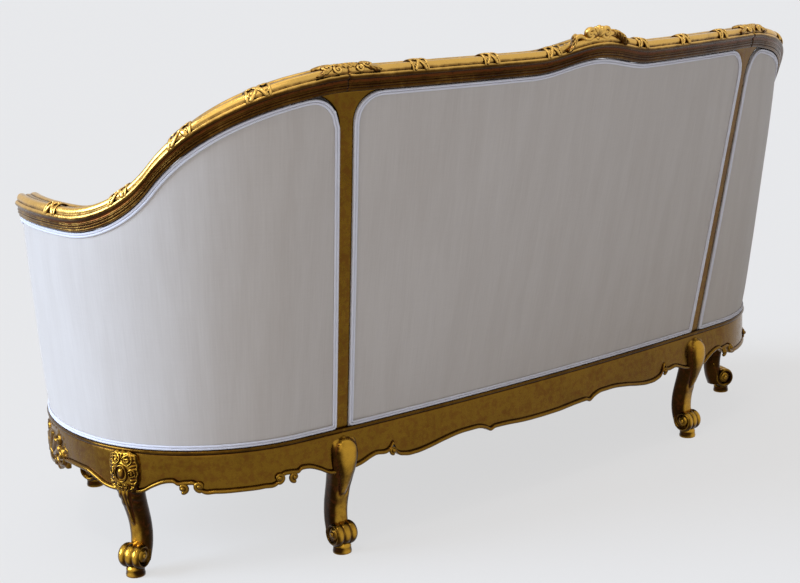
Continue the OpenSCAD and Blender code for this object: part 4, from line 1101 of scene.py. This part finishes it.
def foot_rows(toe):
    """The scroll of a foot: a ribbed strip that rolls outwards and in on itself, moved out by toe."""
    lead_count = 11
    t = np.linspace(0, 1, 84)
    angle = foot_start + t * foot_roll
    radius = (foot_radius - 0.0055) * (1 - 0.80 * t ** 1.5)
    path = np.stack([pad_set + toe + radius * np.cos(angle), foot_middle + radius * np.sin(angle)], -1)
    lead_t = np.linspace(0, 1, lead_count + 1)[:-1]
    lead = np.stack([mix(-0.0435, path[0, 0], lead_t ** 0.6), mix(0.088, path[0, 1], lead_t)], -1)
    path = np.concatenate([lead, path])
    thick = np.concatenate([np.full(lead_count, lead_depth), strip_depth * (1 - 0.55 * t)])
    widths = np.interp(t, [0, 0.25, 0.5, 1], [0.94, 1.06, 1.0, 0.88])
    width = np.concatenate([np.full(lead_count, 0.9), widths]) * scroll_width / 2
    ahead = unit_rows(np.gradient(path, axis=0))
    away = np.stack([ahead[:, 1], -ahead[:, 0]], -1)
    across = np.linspace(-1, 1, 31)
    ribs = 0.4 + 0.6 * np.abs(np.cos(1.5 * math.pi * across)) ** 0.6
    edge = 1 - np.abs(across) ** 8
    rows = []
    for p, a, deep, wide in zip(path, away, thick, width):
        outer = p + (deep / 2 * ribs * edge)[:, None] * a
        inner = p - (deep / 2 * edge)[::-1][1:-1, None] * a
        x = np.concatenate([across * wide, (across * wide)[::-1][1:-1]])
        rows.append(np.column_stack([x, np.concatenate([outer, inner])]))
    return np.array(rows)


pad_shares = [[0.001, 0], [0.93, 0], [1, 0.06], [1.02, 0.3], [0.98, 0.5], [0.95, 0.8],
              [0.98, 0.95], [0.9, 1.1], [0.8, 1.5], [0.001, 1.55]]


def leg_pieces(carved):
    """A leg's forms as rings: stem and knee, foot scroll, pad, the scroll's eye and core, knee plate."""
    toe = toe_out if carved else 0.0
    centre = (0, pad_set + toe, foot_middle)
    half = scroll_width / 2
    pad_profile = [(r * pad_radius, h * pad_height) for r, h in pad_shares]
    eye_half = [(0.0003, half + 0.0035), (0.004, half + 0.0028), (0.0062, half)]
    cheek = [(0.001, 1.02), (foot_radius * 0.18, 1.04), (foot_radius * 0.3, 0.97), (foot_radius * 0.5, 0.86),
             (foot_radius * 0.52, 0.4)]
    core_half = [(r, share * half) for r, share in cheek]
    parts = [leg_surface(carved), foot_rows(toe), lathe(pad_profile, (0, pad_set + toe, 0), "z", 48)]
    for ends, count in ((eye_half, 24), (core_half, 32)):
        parts.append(lathe([(r, -x) for r, x in ends] + ends[::-1], centre, "x", count))
    if carved:
        parts.append(knee_plate())
    return parts


def volute(x, z, eye, radius, hand):
    """Height share, 0 to 1, of a rolled scroll round its eye."""
    run, rise = x - eye[0], z - eye[1]
    reach = np.hypot(run, rise) / radius
    turn = hand * np.arctan2(rise, run) / (2 * math.pi)
    ridge = 0.5 + 0.5 * np.cos(2 * math.pi * (1.9 * reach - turn))
    return np.maximum(ridge ** 0.8 * smooth((1.02 - reach) * 6), np.exp(-(reach / 0.26) ** 2))


def shell(x, z, root, radius, flutes):
    """Height share of a fan of flutes that opens upwards from its root."""
    run, rise = x - root[0], z - root[1]
    reach = np.hypot(run, rise) / radius
    turn = np.arctan2(run, rise)
    wave = np.abs(np.cos(turn * flutes / 2)) ** 0.7
    return wave * smooth(reach * 3) * smooth((1 - reach) * 7) * smooth((1.5 - np.abs(turn)) * 4)


plate_sink = 0.002


def plate_rows(outline, relief, half_width, half_height, point, edge_depth):
    """Rings of points for a carved plate: outline gives its reach at each turn, relief its height."""
    turn = np.linspace(0, 2 * math.pi, 200, endpoint=False)
    reach = np.stack([outline(turn) * np.cos(turn) * half_width, outline(turn) * np.sin(turn) * half_height])
    rows = []
    for share in np.concatenate([[0.001], np.linspace(0.02, 0.9, 58), [0.94, 0.97, 0.99, 1.0]]):
        x, z = share * reach
        fall = math.sqrt(max(1 - (max(share - 0.86, 0) / 0.14) ** 2, 0))
        rows.append(point(x, z, relief(x, z, share) * fall - plate_sink * (1 - fall)))
    for share in (1.0, 0.001):
        x, z = share * reach
        rows.append(point(x, z, np.full(len(turn), -edge_depth)))
    return np.array(rows)


def plate_outline(turn):
    """A shield with soft corners and a scalloped edge."""
    c, s = np.abs(np.cos(turn)), np.abs(np.sin(turn))
    narrow = 1 - 0.2 * smooth(-np.sin(turn))
    return (c ** 4 + s ** 4) ** -0.25 * (1 + 0.022 * np.cos(16 * turn)) * mix(1, narrow, c)


def knee_front(level):
    """How far the front of a knee stands out of the wall line at a share of the leg's height."""
    depth = mix(ankle_depth, knee_depth, leg_flow(level, 3))
    front = mix(ankle_set, knee_set, leg_flow(level, 1)) + depth / 2
    return np.where(level > 0.84, knee_set + knee_depth / 2 - 0.008 * smooth((level - 0.92) / 0.14), front)


def highest(*heights):
    return np.max(np.broadcast_arrays(*heights), 0)


# A knee's scrolls on one side: place across and up, radius, hand
knee_scrolls = [(0.0145, 0.0285, 0.0135, -1), (0.0235, -0.001, 0.0095, 1), (0.0095, -0.0295, 0.009, -1)]
knee_relief_rise = 0.0042
knee_relief_sink = 0.0012


def knee_relief(x, z, share):
    """Height share of the knee's carving: volutes, a ringed boss, two shells and shelled edges."""
    boss = np.hypot(x, (z + 0.001) / 1.25) / 0.0095
    dome = np.sqrt(np.maximum(1 - boss ** 2, 0)) * 1.5
    ring = np.exp(-((boss - 1.45) / 0.2) ** 2)
    scrolls = [volute(x, z, (side * across, up), radius, side * hand) for side in (-1, 1)
               for across, up, radius, hand in knee_scrolls]
    shells = shell(x, z, (0, 0.026), 0.016, 9), shell(x, -z, (0, 0.026), 0.015, 7)
    gadroons = 0.55 * np.abs(np.sin(z * 420 + x * 60)) * smooth((np.abs(x) - 0.019) * 300)
    rim = math.exp(-((share - 0.93) / 0.045) ** 2)
    return knee_relief_rise * highest(dome, ring, *scrolls, *shells, gadroons, rim) - knee_relief_sink


knee_plate_drop = 0.033
knee_plate_half = 0.0365
knee_plate_rise = 0.0435


def knee_plate():
    middle = leg_height - knee_plate_drop

    def point(x, z, lift):
        bend = 1 - np.minimum(np.abs(x / (knee_plate_half + 0.002)), 1) ** 3
        front = mix(rail_face, knee_front((middle + z) / leg_height), bend)
        return np.stack([x, front + lift, middle + z], -1)

    return plate_rows(plate_outline, knee_relief, knee_plate_half, knee_plate_rise, point, 0.012)


def leg(name, carved, spot, turn):
    return joined(name, [surface("part", placed(rows, spot, turn)) for rows in leg_pieces(carved)])


def spot_of(point, way, turn):
    return point(way, 0, 0)[:2], float(turn)


# The legs' marks use a focus of 5: a narrow painted highlight down each leg's front and painted shade on its
# sides.
for leg_name, carved, (spot, turn) in (
        ("back_leg", False, spot_of(wall_point, back_leg_way, heading(back_leg_way))),
        ("side_leg", True, spot_of(wall_point, side_leg_way, heading(side_leg_way))),
        ("front_corner_leg", True, (front_corner, front_heading + corner_turn / 2)),
        ("front_middle_leg", True,
         spot_of(front_point, front_leg_way, math.pi - front_leg_way / front_radius))):
    both_sides(leg_name + "_gilt", lambda name: leg(name, carved, spot, turn), dark_gilt, [leg_name],
               (5, 0.002, None, 5.0))


# Cartouches on the middles of the side and front rails
def cartouche_outline(turn):
    c, s = np.abs(np.cos(turn)), np.abs(np.sin(turn))
    return (c ** 2.6 + s ** 2.6) ** (-1 / 2.6) * (1 + 0.05 * np.cos(10 * turn) + 0.02 * np.cos(23 * turn))


# A cartouche's scrolls on one side: height share, place across and up, radius, hand
cartouche_scrolls = [(1.3, 0.05, -0.014, 0.026, 1), (1.0, 0.043, 0.021, 0.015, -1),
                     (1.0, 0.017, -0.033, 0.013, -1), (0.8, 0.072, 0.009, 0.012, 1)]
cartouche_relief_rise = 0.0062


def cartouche_relief(x, z, share):
    """Height of a broad shell between scrolls, with leaves round its edge."""
    scrolls = [size * volute(x, z, (side * across, up), radius, side * hand) for side in (-1, 1)
               for size, across, up, radius, hand in cartouche_scrolls]
    leaves = 0.5 * np.abs(np.sin(np.arctan2(z, x) * 11)) * smooth((share - 0.66) * 6)
    return cartouche_relief_rise * highest(1.25 * shell(x, z, (0, -0.032), 0.062, 13), *scrolls, leaves)


cartouche_half = 0.082
cartouche_rise = 0.05
cartouche_relief_marks = (4, 0.0022)


def cartouche(name, point, middle, spread=1.0):
    drop = rail_depth / 2 + 0.007

    def on_rail(x, z, lift):
        return point(middle + spread * x, seat_rail_top - drop + z, rail_face - 0.001 + lift)

    rows = plate_rows(cartouche_outline, cartouche_relief, cartouche_half, cartouche_rise, on_rail, 0.008)
    return surface(name, rows)


both_sides("side_cartouche", lambda name: cartouche(name, wall_point, side_middle - 0.03, 1.3), shaded_gilt,
           relief=cartouche_relief_marks)
dress(cartouche("front_cartouche", front_point, 0.0), bright_gilt, relief=cartouche_relief_marks)


# Arm supports
reed_rise = 0.0034


def arm_support(name):
    """An arm support with its front edge carved into three reeds."""
    rows = []
    t = np.linspace(0, 1, 41)
    reeds = reed_rise * np.abs(np.sin(3 * math.pi * t)) ** 0.6
    for z in np.linspace(support_bottom, support_top, 70):
        start, front = support_start_way(z), support_front_way(z)
        bead = wall_point(front - support_bead * np.array([1, 0.9, 0.5]), z, [-panel_thickness, -0.0012, 0.0])
        nose = wall_point(front - 0.0036 + reeds, z, -support_depth * t)
        back = wall_point([front - support_bead, start + 0.004, start, start + 0.003], z,
                          [-support_depth, -support_depth, -0.025, -panel_thickness - curve_gap])
        rows.append(np.concatenate([bead, nose, back]))
    return surface(name, rows, angle=50)


both_sides("arm_support_gilt", arm_support, bright_gilt, ["arm_support"], (5, 0.002))


# Covers: u runs across a bay, v up it
def back_way(u, z):
    return u * (post_way(z) - post_width / 2)


def wing_way(u, z):
    return mix(post_way(z) + post_width / 2, support_front_way(z) - support_bead - flat_gap, u)


def corner_drop(d):
    c = np.clip(d, 0, panel_corner)
    return panel_corner - np.sqrt(np.maximum(panel_corner ** 2 - (panel_corner - c) ** 2, 0))


def back_top(u):
    way = back_way(u, crest_top)
    return moulding_bottom(way) - curve_gap - corner_drop(back_way(1, crest_top) - np.abs(way))


def wing_top(u):
    way = wing_way(u, moulding_bottom(wing_way(u, crest_top)))
    return moulding_bottom(way) - curve_gap - corner_drop(way - wing_way(0, crest_top))


def eased(count, power=1.6):
    """Shares from 0 to 1 that crowd towards both ends."""
    t = np.linspace(-1, 1, count)
    return (np.sign(t) * (1 - (1 - np.abs(t)) ** power) + 1) / 2


def slab(name, across, up, way, top, outs):
    """A closed sheet on the wall, from the seat rail to its top line; outs places its face and back."""
    rings = []
    for u in across:
        share = (u - across[0]) / (across[-1] - across[0])
        z = mix(seat_rail_top + flat_gap, top(u), up)
        ways = way(u, z)
        rings.append(sheet_ring(ways, z, *outs(share, up, ways, z)))
    rows, maps = zip(*rings)
    return surface(name, rows, np.array(maps), 60)


panel_lift = 0.4 * mm
panel_unevenness = 0.0009
pad_unevenness = 0.0012


def panel(name, across, top, way, seed):
    def outs(share, up, ways, z):
        soft = panel_unevenness * wobble(ways * 3.1 + seed, z * 1.3) * bulge(share, 4) * bulge(up, 4)
        return panel_crown * bulge(share, 5) * bulge(up, 5) + soft + panel_lift, -panel_thickness

    return slab(name, across, eased(60, 1.4), way, top, outs)


panel_columns = eased(110, 1.8)
dress(panel("back_panel", 2 * panel_columns - 1, back_top, back_way, 0.0), cover_fabric,
      ["outside_back_panel"])
both_sides("wing_panel", lambda name: panel(name, panel_columns, wing_top, wing_way, 1.0), cover_fabric,
           ["outside_panel"])


# Double welts round the outside panels
def outline_points(way, top, across):
    """A panel's outline as [way, height]: along its top, down its far edge, back, and up its near edge."""
    bottom = seat_rail_top + flat_gap
    upper = [[float(way(u, top(u))), float(top(u))] for u in across]
    lower = [[float(way(u, bottom)), bottom] for u in across[::-1]]
    edges = [[[float(way(u, z)), float(z)] for z in np.linspace(bottom, float(top(u)), 90)[1:-1]]
             for u in (across[-1], across[0])]
    return np.array(upper + edges[0][::-1] + lower + edges[1])


def resampled(line, count):
    """Points spread evenly along a line, from its start to just before its end."""
    run = run_along(line)
    where = np.linspace(0, run[-1], count, endpoint=False)
    return np.stack([np.interp(where, run, line[:, k]) for k in (0, 1)], -1)


def evenly(outline, step):
    """The same closed outline with points a step apart."""
    closed = np.concatenate([outline, outline[:1]])
    return resampled(closed, int(run_along(closed)[-1] / step))


def rounded(outline, passes):
    for _ in range(passes):
        outline = outline / 2 + (np.roll(outline, 1, 0) + np.roll(outline, -1, 0)) / 4
    return outline


def inset(outline, distance):
    ahead = unit_rows(np.roll(outline, -1, 0) - np.roll(outline, 1, 0))
    return outline + np.stack([ahead[:, 1], -ahead[:, 0]], -1) * distance


def closed_cord(point, line, third, radius, sides, run_step, girth_step):
    """A covered cord round a closed line of two measures and a third; point turns them into places.

    The weave's map goes on by run_step from ring to ring, and by girth_step from side to side."""
    path = np.column_stack([line, np.broadcast_to(third, len(line))])
    path = np.concatenate([path, path[:1]])
    rows = tube(path, radius, sides, blunt=False)
    rows[-1] = rows[0]
    girth = np.arange(sides)[None] * girth_step
    run = np.arange(len(path))[:, None] * run_step
    return laid(point, rows, np.stack(np.broadcast_arrays(girth, run), -1))


welt_cords = [(0.0026, 0.0027), (0.0078, 0.0024)]
welt_sides = 10
welt_girth_share = 0.63
welt_step = 0.004
welt_lift = 0.0028
welt_sink = 0.0062
sink_edge = 0.012


def welt(name, outline, sunk_from=None):
    """Two covered cords round a panel's outline, which turns right as seen from outside.

    They sink under the arm support past the way that sunk_from gives for their height."""
    outline = rounded(evenly(outline, welt_step), 4)
    pieces = []
    for distance, radius in welt_cords:
        line = inset(outline, distance)
        lift = welt_lift
        if sunk_from is not None:
            hidden = smooth((line[:, 0] - sunk_from(line[:, 1]) + sink_edge) * 250)
            hidden *= smooth((wing_top(1.0) - sink_edge - line[:, 1]) * 120)
            lift = welt_lift - welt_sink * hidden
        pieces.append(closed_cord(wall_point, line, lift, radius, welt_sides, welt_step,
                                  welt_girth_share * radius))
    return joined(name, pieces)


back_outline = outline_points(back_way, back_top, np.linspace(-1, 1, 320))
wing_outline = outline_points(wing_way, wing_top, np.linspace(0, 1, 320))
dress(welt("back_piping", back_outline), welt_fabric, ["back_welt"])
both_sides("piping", lambda name: welt(name, wing_outline, lambda z: wing_way(1, z)), welt_fabric, ["welt"])

# Inside pads, sprung seat and cushion
start_share = 0.72
pad_swell = 0.013
cushion_net = 0.014
cloth_pressure = {
    "quality": 3, "mass": 0.3, "tension_stiffness": 12, "compression_stiffness": 12,
    "shear_stiffness": 6, "bending_stiffness": 0.6, "use_pressure": True, "uniform_pressure_force": 4.0,
    "vertex_group_mass": "held"}
swell_frames = 20


def wall_out(points):
    """How far points stand out of the wall's leaning surface."""
    way = nearest_way(points)
    radius, centre = wall_arc(way)
    side = np.stack([np.abs(points[:, 0]), points[:, 1]], -1)
    lean = wall_slope(way) * np.maximum(points[:, 2] - seat_rail_top, 0)
    return np.linalg.norm(side - centre, axis=1) - radius - lean


def worked(piece, name, kind, **settings):
    """Applies a modifier with its settings."""
    change = piece.modifiers.new(name, kind)
    for key, value in settings.items():
        setattr(change, key, value)
    bpy.ops.object.modifier_apply(modifier=name)


def even_net(piece, net, place):
    """Gives a closed form an even net of squares, and the weave its map by place."""
    choose(piece)
    worked(piece, "even_net", "REMESH", mode="VOXEL", voxel_size=net, use_smooth_shade=True)
    worked(piece, "calm", "SMOOTH", factor=0.5, iterations=3)
    piece.data.uv_layers.new(name="UVMap")
    lay_map(piece, place(corners_of(piece)))


def puffed(piece, held, reach):
    """Swells a closed form as cloth under pressure. Held points stay, the others move by reach at most."""
    choose(piece)
    start = corners_of(piece)
    fixed = piece.vertex_groups.new(name="held")
    fixed.add([int(i) for i in np.flatnonzero(held(start))], 1.0, "REPLACE")
    swell = piece.modifiers.new("swell", "CLOTH")
    for key, value in cloth_pressure.items():
        setattr(swell.settings, key, value)
    swell.settings.effector_weights.gravity = 0
    swell.collision_settings.use_collision = False
    swell.point_cache.frame_start = 1
    swell.point_cache.frame_end = swell_frames
    for moment in range(1, swell_frames + 1):
        bpy.context.scene.frame_set(moment)
    bpy.ops.object.modifier_apply(modifier="swell")
    bpy.context.scene.frame_set(1)
    moved = corners_of(piece) - start
    share = np.minimum(1, reach(start) / np.maximum(np.linalg.norm(moved, axis=1), tiny))
    piece.data.vertices.foreach_set("co", (start + moved * share[:, None]).ravel())
    piece.vertex_groups.clear()
    worked(piece, "finer", "SUBSURF", levels=1, render_levels=1)
    bpy.ops.object.shade_smooth()


def pad_held(points):
    return pad_outer - wall_out(points) < pad_edge * 1.1


def pad_back_way(u, z):
    return u * (post_way(z) - flat_gap)


def pad_wing_way(u, z):
    return mix(post_way(z) + flat_gap, support_start_way(z) - layer_gap, u)


def inside_pad(name, across, way, seed):
    pad_start = start_share

    def top(u):
        return float(moulding_bottom(way(u, moulding_bottom(way(u, crest_top)))) - curve_gap)

    def outs(share, up, ways, z):
        edge = pad_edge * (0.3 + 0.7 * bulge(share, 14))
        crown = pad_start * pad_crown * bulge(share, 4) * bulge(up, 3)
        soft = pad_unevenness * wobble(ways * 3.0 + seed, z * 2.0) * bulge(share, 4)
        return pad_outer - (edge + crown) - soft, pad_outer

    pad = slab(name, across, eased(42, 1.3), way, top, outs)
    puffed(pad, pad_held, lambda points: pad_swell)
    return pad


back_pad = dress(inside_pad("back_pad", 2 * eased(76, 1.3) - 1, pad_back_way, 0.4), cover_fabric,
                 ["inside_back_pad"])
for wing_pad in both_sides("wing_pad", lambda name: inside_pad(name, eased(64, 1.3), pad_wing_way, 1.4),
                           cover_fabric, ["inside_pad"]):
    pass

wall_end_way = arm_support_way + support_width / 2 + layer_gap
outline_step = 0.012


def seat_outline(wall_inset, front_inset):
    """The seat's outline, from the middle of the front round to the middle of the back and home again."""
    front = front_point(np.linspace(0, 0.96, 40) * front_half_way, 0, -front_inset)[:, :2]
    corner = wall_point(np.linspace(front_corner_way - 0.02, wall_end_way, 8), 0, -front_inset)[:, :2]
    wall = wall_point(np.linspace(wall_end_way, 0, 120), 0, -wall_inset)[:, :2]
    half = np.concatenate([front, corner, wall])
    other = half[::-1][1:-1] * np.array([-1, 1])
    return rounded(evenly(np.concatenate([half, other]), outline_step), 3)


def seat_layers(name, wall_inset, front_inset, layers):
    """A closed form through seat outlines: each layer is [more wall inset, more front inset, height]."""
    count = 360
    middle = np.array([0.0, -0.16])
    rings = []
    for more_wall, more_front, z in layers:
        line = seat_outline(wall_inset + more_wall, front_inset + more_front)
        rings.append((resampled(line, count), z))
    (first, bottom), (last, top) = rings[0], rings[-1]
    rings = ([(mix(middle, first, share), bottom) for share in (0.02, 0.3, 0.65, 0.9)] + rings
             + [(mix(middle, last, share), top) for share in (0.85, 0.7, 0.55, 0.4, 0.25, 0.1, 0.02)])
    rows = [np.column_stack([places, np.full(count, z)]) for places, z in rings]
    return surface(name, rows, np.array([places for places, _ in rings]))


deck_bottom = seat_rail_top + flat_gap
deck_top = seat_rail_top + deck_height
deck_wall_inset = -pad_outer + pad_edge + pad_crown * 0.55
deck_front_inset = rail_back / 3
deck_layers = [[0.002, 0.002, deck_bottom], [0, 0, deck_bottom + 0.004],
               [-0.003, -0.004, mix(deck_bottom, deck_top, 0.5)], [0, 0, deck_top - 0.014],
               [0.004, 0.004, deck_top - 0.005], [0.014, 0.014, deck_top], [0.084, 0.084, deck_top + 0.006]]
deck = seat_layers("seat_deck", deck_wall_inset, deck_front_inset, deck_layers)
dress(deck, cover_fabric, ["sprung_seat"])

cushion_wall_inset = -pad_outer + pad_edge + pad_crown + layer_gap
cushion_bottom = deck_top + 0.007 + flat_gap
cushion_top = cushion_bottom + cushion_border
cord_drop = 0.008
crown_rise = cushion_crown * start_share
cushion_layers = [[inset_more, inset_more, z] for inset_more, z in (
    (0.056, cushion_bottom), (0.02, cushion_bottom + 0.001), (0.006, cushion_bottom + 0.004),
    (0, cushion_bottom + cord_drop), (0.001, cushion_bottom + 0.02),
    (0.003, mix(cushion_bottom, cushion_top, 0.5)), (0.001, cushion_top - 0.02),
    (0, cushion_top - cord_drop), (0.006, cushion_top - 0.002),
    (0.02, cushion_top + 0.003), (0.07, cushion_top + 0.65 * crown_rise), (0.154, cushion_top + crown_rise))]
cushion = seat_layers("loose_cushion", cushion_wall_inset, deck_front_inset, cushion_layers)


top_swell = 0.012
border_swell = 0.0035


def cushion_held(points):
    """True at the cushion's underside and along the upper cord, which the cloth is sewn to."""
    low = points[:, 2] < cushion_bottom + 0.011
    edge = np.abs(points[:, 2] - cushion_top + cord_drop) < 0.005
    return low | edge


def cushion_reach(points):
    return np.where(points[:, 2] > cushion_top - 0.004, top_swell, border_swell)


even_net(cushion, cushion_net, lambda points: points[:, :2])
puffed(cushion, cushion_held, cushion_reach)
dress(cushion, cover_fabric, ["seat_cushion"], body="cushion")

cushion_line = seat_outline(cushion_wall_inset, deck_front_inset)
cushion_cord_radius = 0.0042
cushion_cord_sides = 12
cushion_cord_girth_step = 0.0022


def in_plan(x, y, z):
    return np.stack([x, y, z], -1)


cushion_cords = [closed_cord(in_plan, cushion_line, z, cushion_cord_radius, cushion_cord_sides,
                             outline_step, cushion_cord_girth_step)
                 for z in (cushion_bottom + cord_drop, cushion_top - cord_drop)]
dress(joined("cushion_piping", cushion_cords), welt_fabric, body="cushion")

# Pieces that keep their CAD solids
inner_names = [
    (beech, ["back_tacking_rail", "left_tacking_rail", "right_tacking_rail", "leg_dowels", "crest_dowels",
             "corner_blocks", "webbing_battens"]),
    (jute, ["seat_webbing", "spring_canvas"]), (black_cloth, ["dust_cover"]), (steel, ["seat_springs"])]
for stuff, names in inner_names:
    for name in names:
        coat(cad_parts[name], stuff)

# Floor, light and camera
floor_width = 160
floor_glow_share = 0.78
backdrop_level = 0.825
air_light = 0.17


def seen_rays(tree):
    """1 for rays of the camera, or that metal and glass throw back; 0 for light on the object."""
    rays = node(tree, "ShaderNodeLightPath").outputs
    thrown_back = maths(tree, "MAXIMUM", rays["Is Glossy Ray"], rays["Is Transmission Ray"])
    return maths(tree, "MAXIMUM", rays["Is Camera Ray"], thrown_back)


bpy.ops.object.select_all(action="DESELECT")
bpy.ops.mesh.primitive_plane_add(size=floor_width, location=(0, 0, 0))
floor = bpy.context.object
floor.name = "floor"
floor_paint = bpy.data.materials.new("pale_floor")
floor_paint.use_nodes = True
paint_tree = floor_paint.node_tree
paint = paint_tree.nodes["Principled BSDF"]
paint.inputs["Base Color"].default_value = (0.84, 0.8, 0.765, 1)
paint.inputs["Roughness"].default_value = 0.95
glow = node(paint_tree, "ShaderNodeEmission", {"Color": (0.825, 0.825, 0.83, 1), "Strength": 1.0})
glow_share = times(paint_tree, seen_rays(paint_tree), floor_glow_share)
blend = node(paint_tree, "ShaderNodeMixShader", {0: glow_share, 1: paint.outputs[0], 2: glow.outputs[0]})
paint_tree.links.new(blend.outputs[0], paint_tree.nodes["Material Output"].inputs["Surface"])
floor.data.materials.append(floor_paint)

scene = bpy.context.scene
world = bpy.data.worlds.new("studio")
scene.world = world
world.use_nodes = True
air = world.node_tree
light_levels = {0: seen_rays(air), 1: 0.0, 2: 1.0, 3: air_light, 4: backdrop_level}
strength = node(air, "ShaderNodeMapRange", light_levels)
backdrop = air.nodes["Background"]
backdrop.inputs["Color"].default_value = (1.0, 0.995, 0.99, 1)
air.links.new(strength.outputs[0], backdrop.inputs["Strength"])


def direction(azimuth, elevation):
    """Towards the viewer or lamp at that azimuth and elevation, in degrees."""
    a, e = math.radians(azimuth), math.radians(elevation)
    return Vector((math.sin(a) * math.cos(e), -math.cos(a) * math.cos(e), math.sin(e)))


# Wide soft suns: name, azimuth, elevation, power, spread in degrees, colour
for name, azimuth, elevation, power, spread, colour in (
        ("key", 62, 24, 4.7, 34, (0.605, 0.757, 1.0)), ("fill", 130, 34, 0.55, 60, (1.0, 0.955, 0.89)),
        ("top", 20, 75, 0.4, 60, (1, 1, 1)), ("glint", 118, 62, 0.22, 7, (1, 1, 1))):
    lamp = bpy.data.lights.new(name, "SUN")
    lamp.energy = power
    lamp.angle = math.radians(spread)
    lamp.color = colour
    holder = bpy.data.objects.new(name, lamp)
    scene.collection.objects.link(holder)
    holder.rotation_euler = direction(azimuth, elevation).to_track_quat("Z", "Y").to_euler()

# Camera, solved from the photograph
camera_roll = math.radians(-1.6535)
camera_spot = Vector((2.583, 2.888, 1.295))
image_width = 800
film_width = 36
far_clip = 300
focal_pixels = 1649.84
back = direction(139.7608, 12.5738)
level_right = (-back).cross(Vector((0, 0, 1))).normalized()
level_up = level_right.cross(-back)
right = level_right * math.cos(camera_roll) + level_up * math.sin(camera_roll)
up = level_up * math.cos(camera_roll) - level_right * math.sin(camera_roll)
lens = bpy.data.cameras.new("camera")
lens.sensor_width = film_width
lens.lens = film_width * focal_pixels / image_width
lens.clip_end = far_clip
camera = bpy.data.objects.new("camera", lens)
scene.collection.objects.link(camera)
camera.matrix_world = Matrix.Translation(camera_spot) @ Matrix((right, up, back)).transposed().to_4x4()
scene.camera = camera
scene.view_settings.view_transform = "Standard"
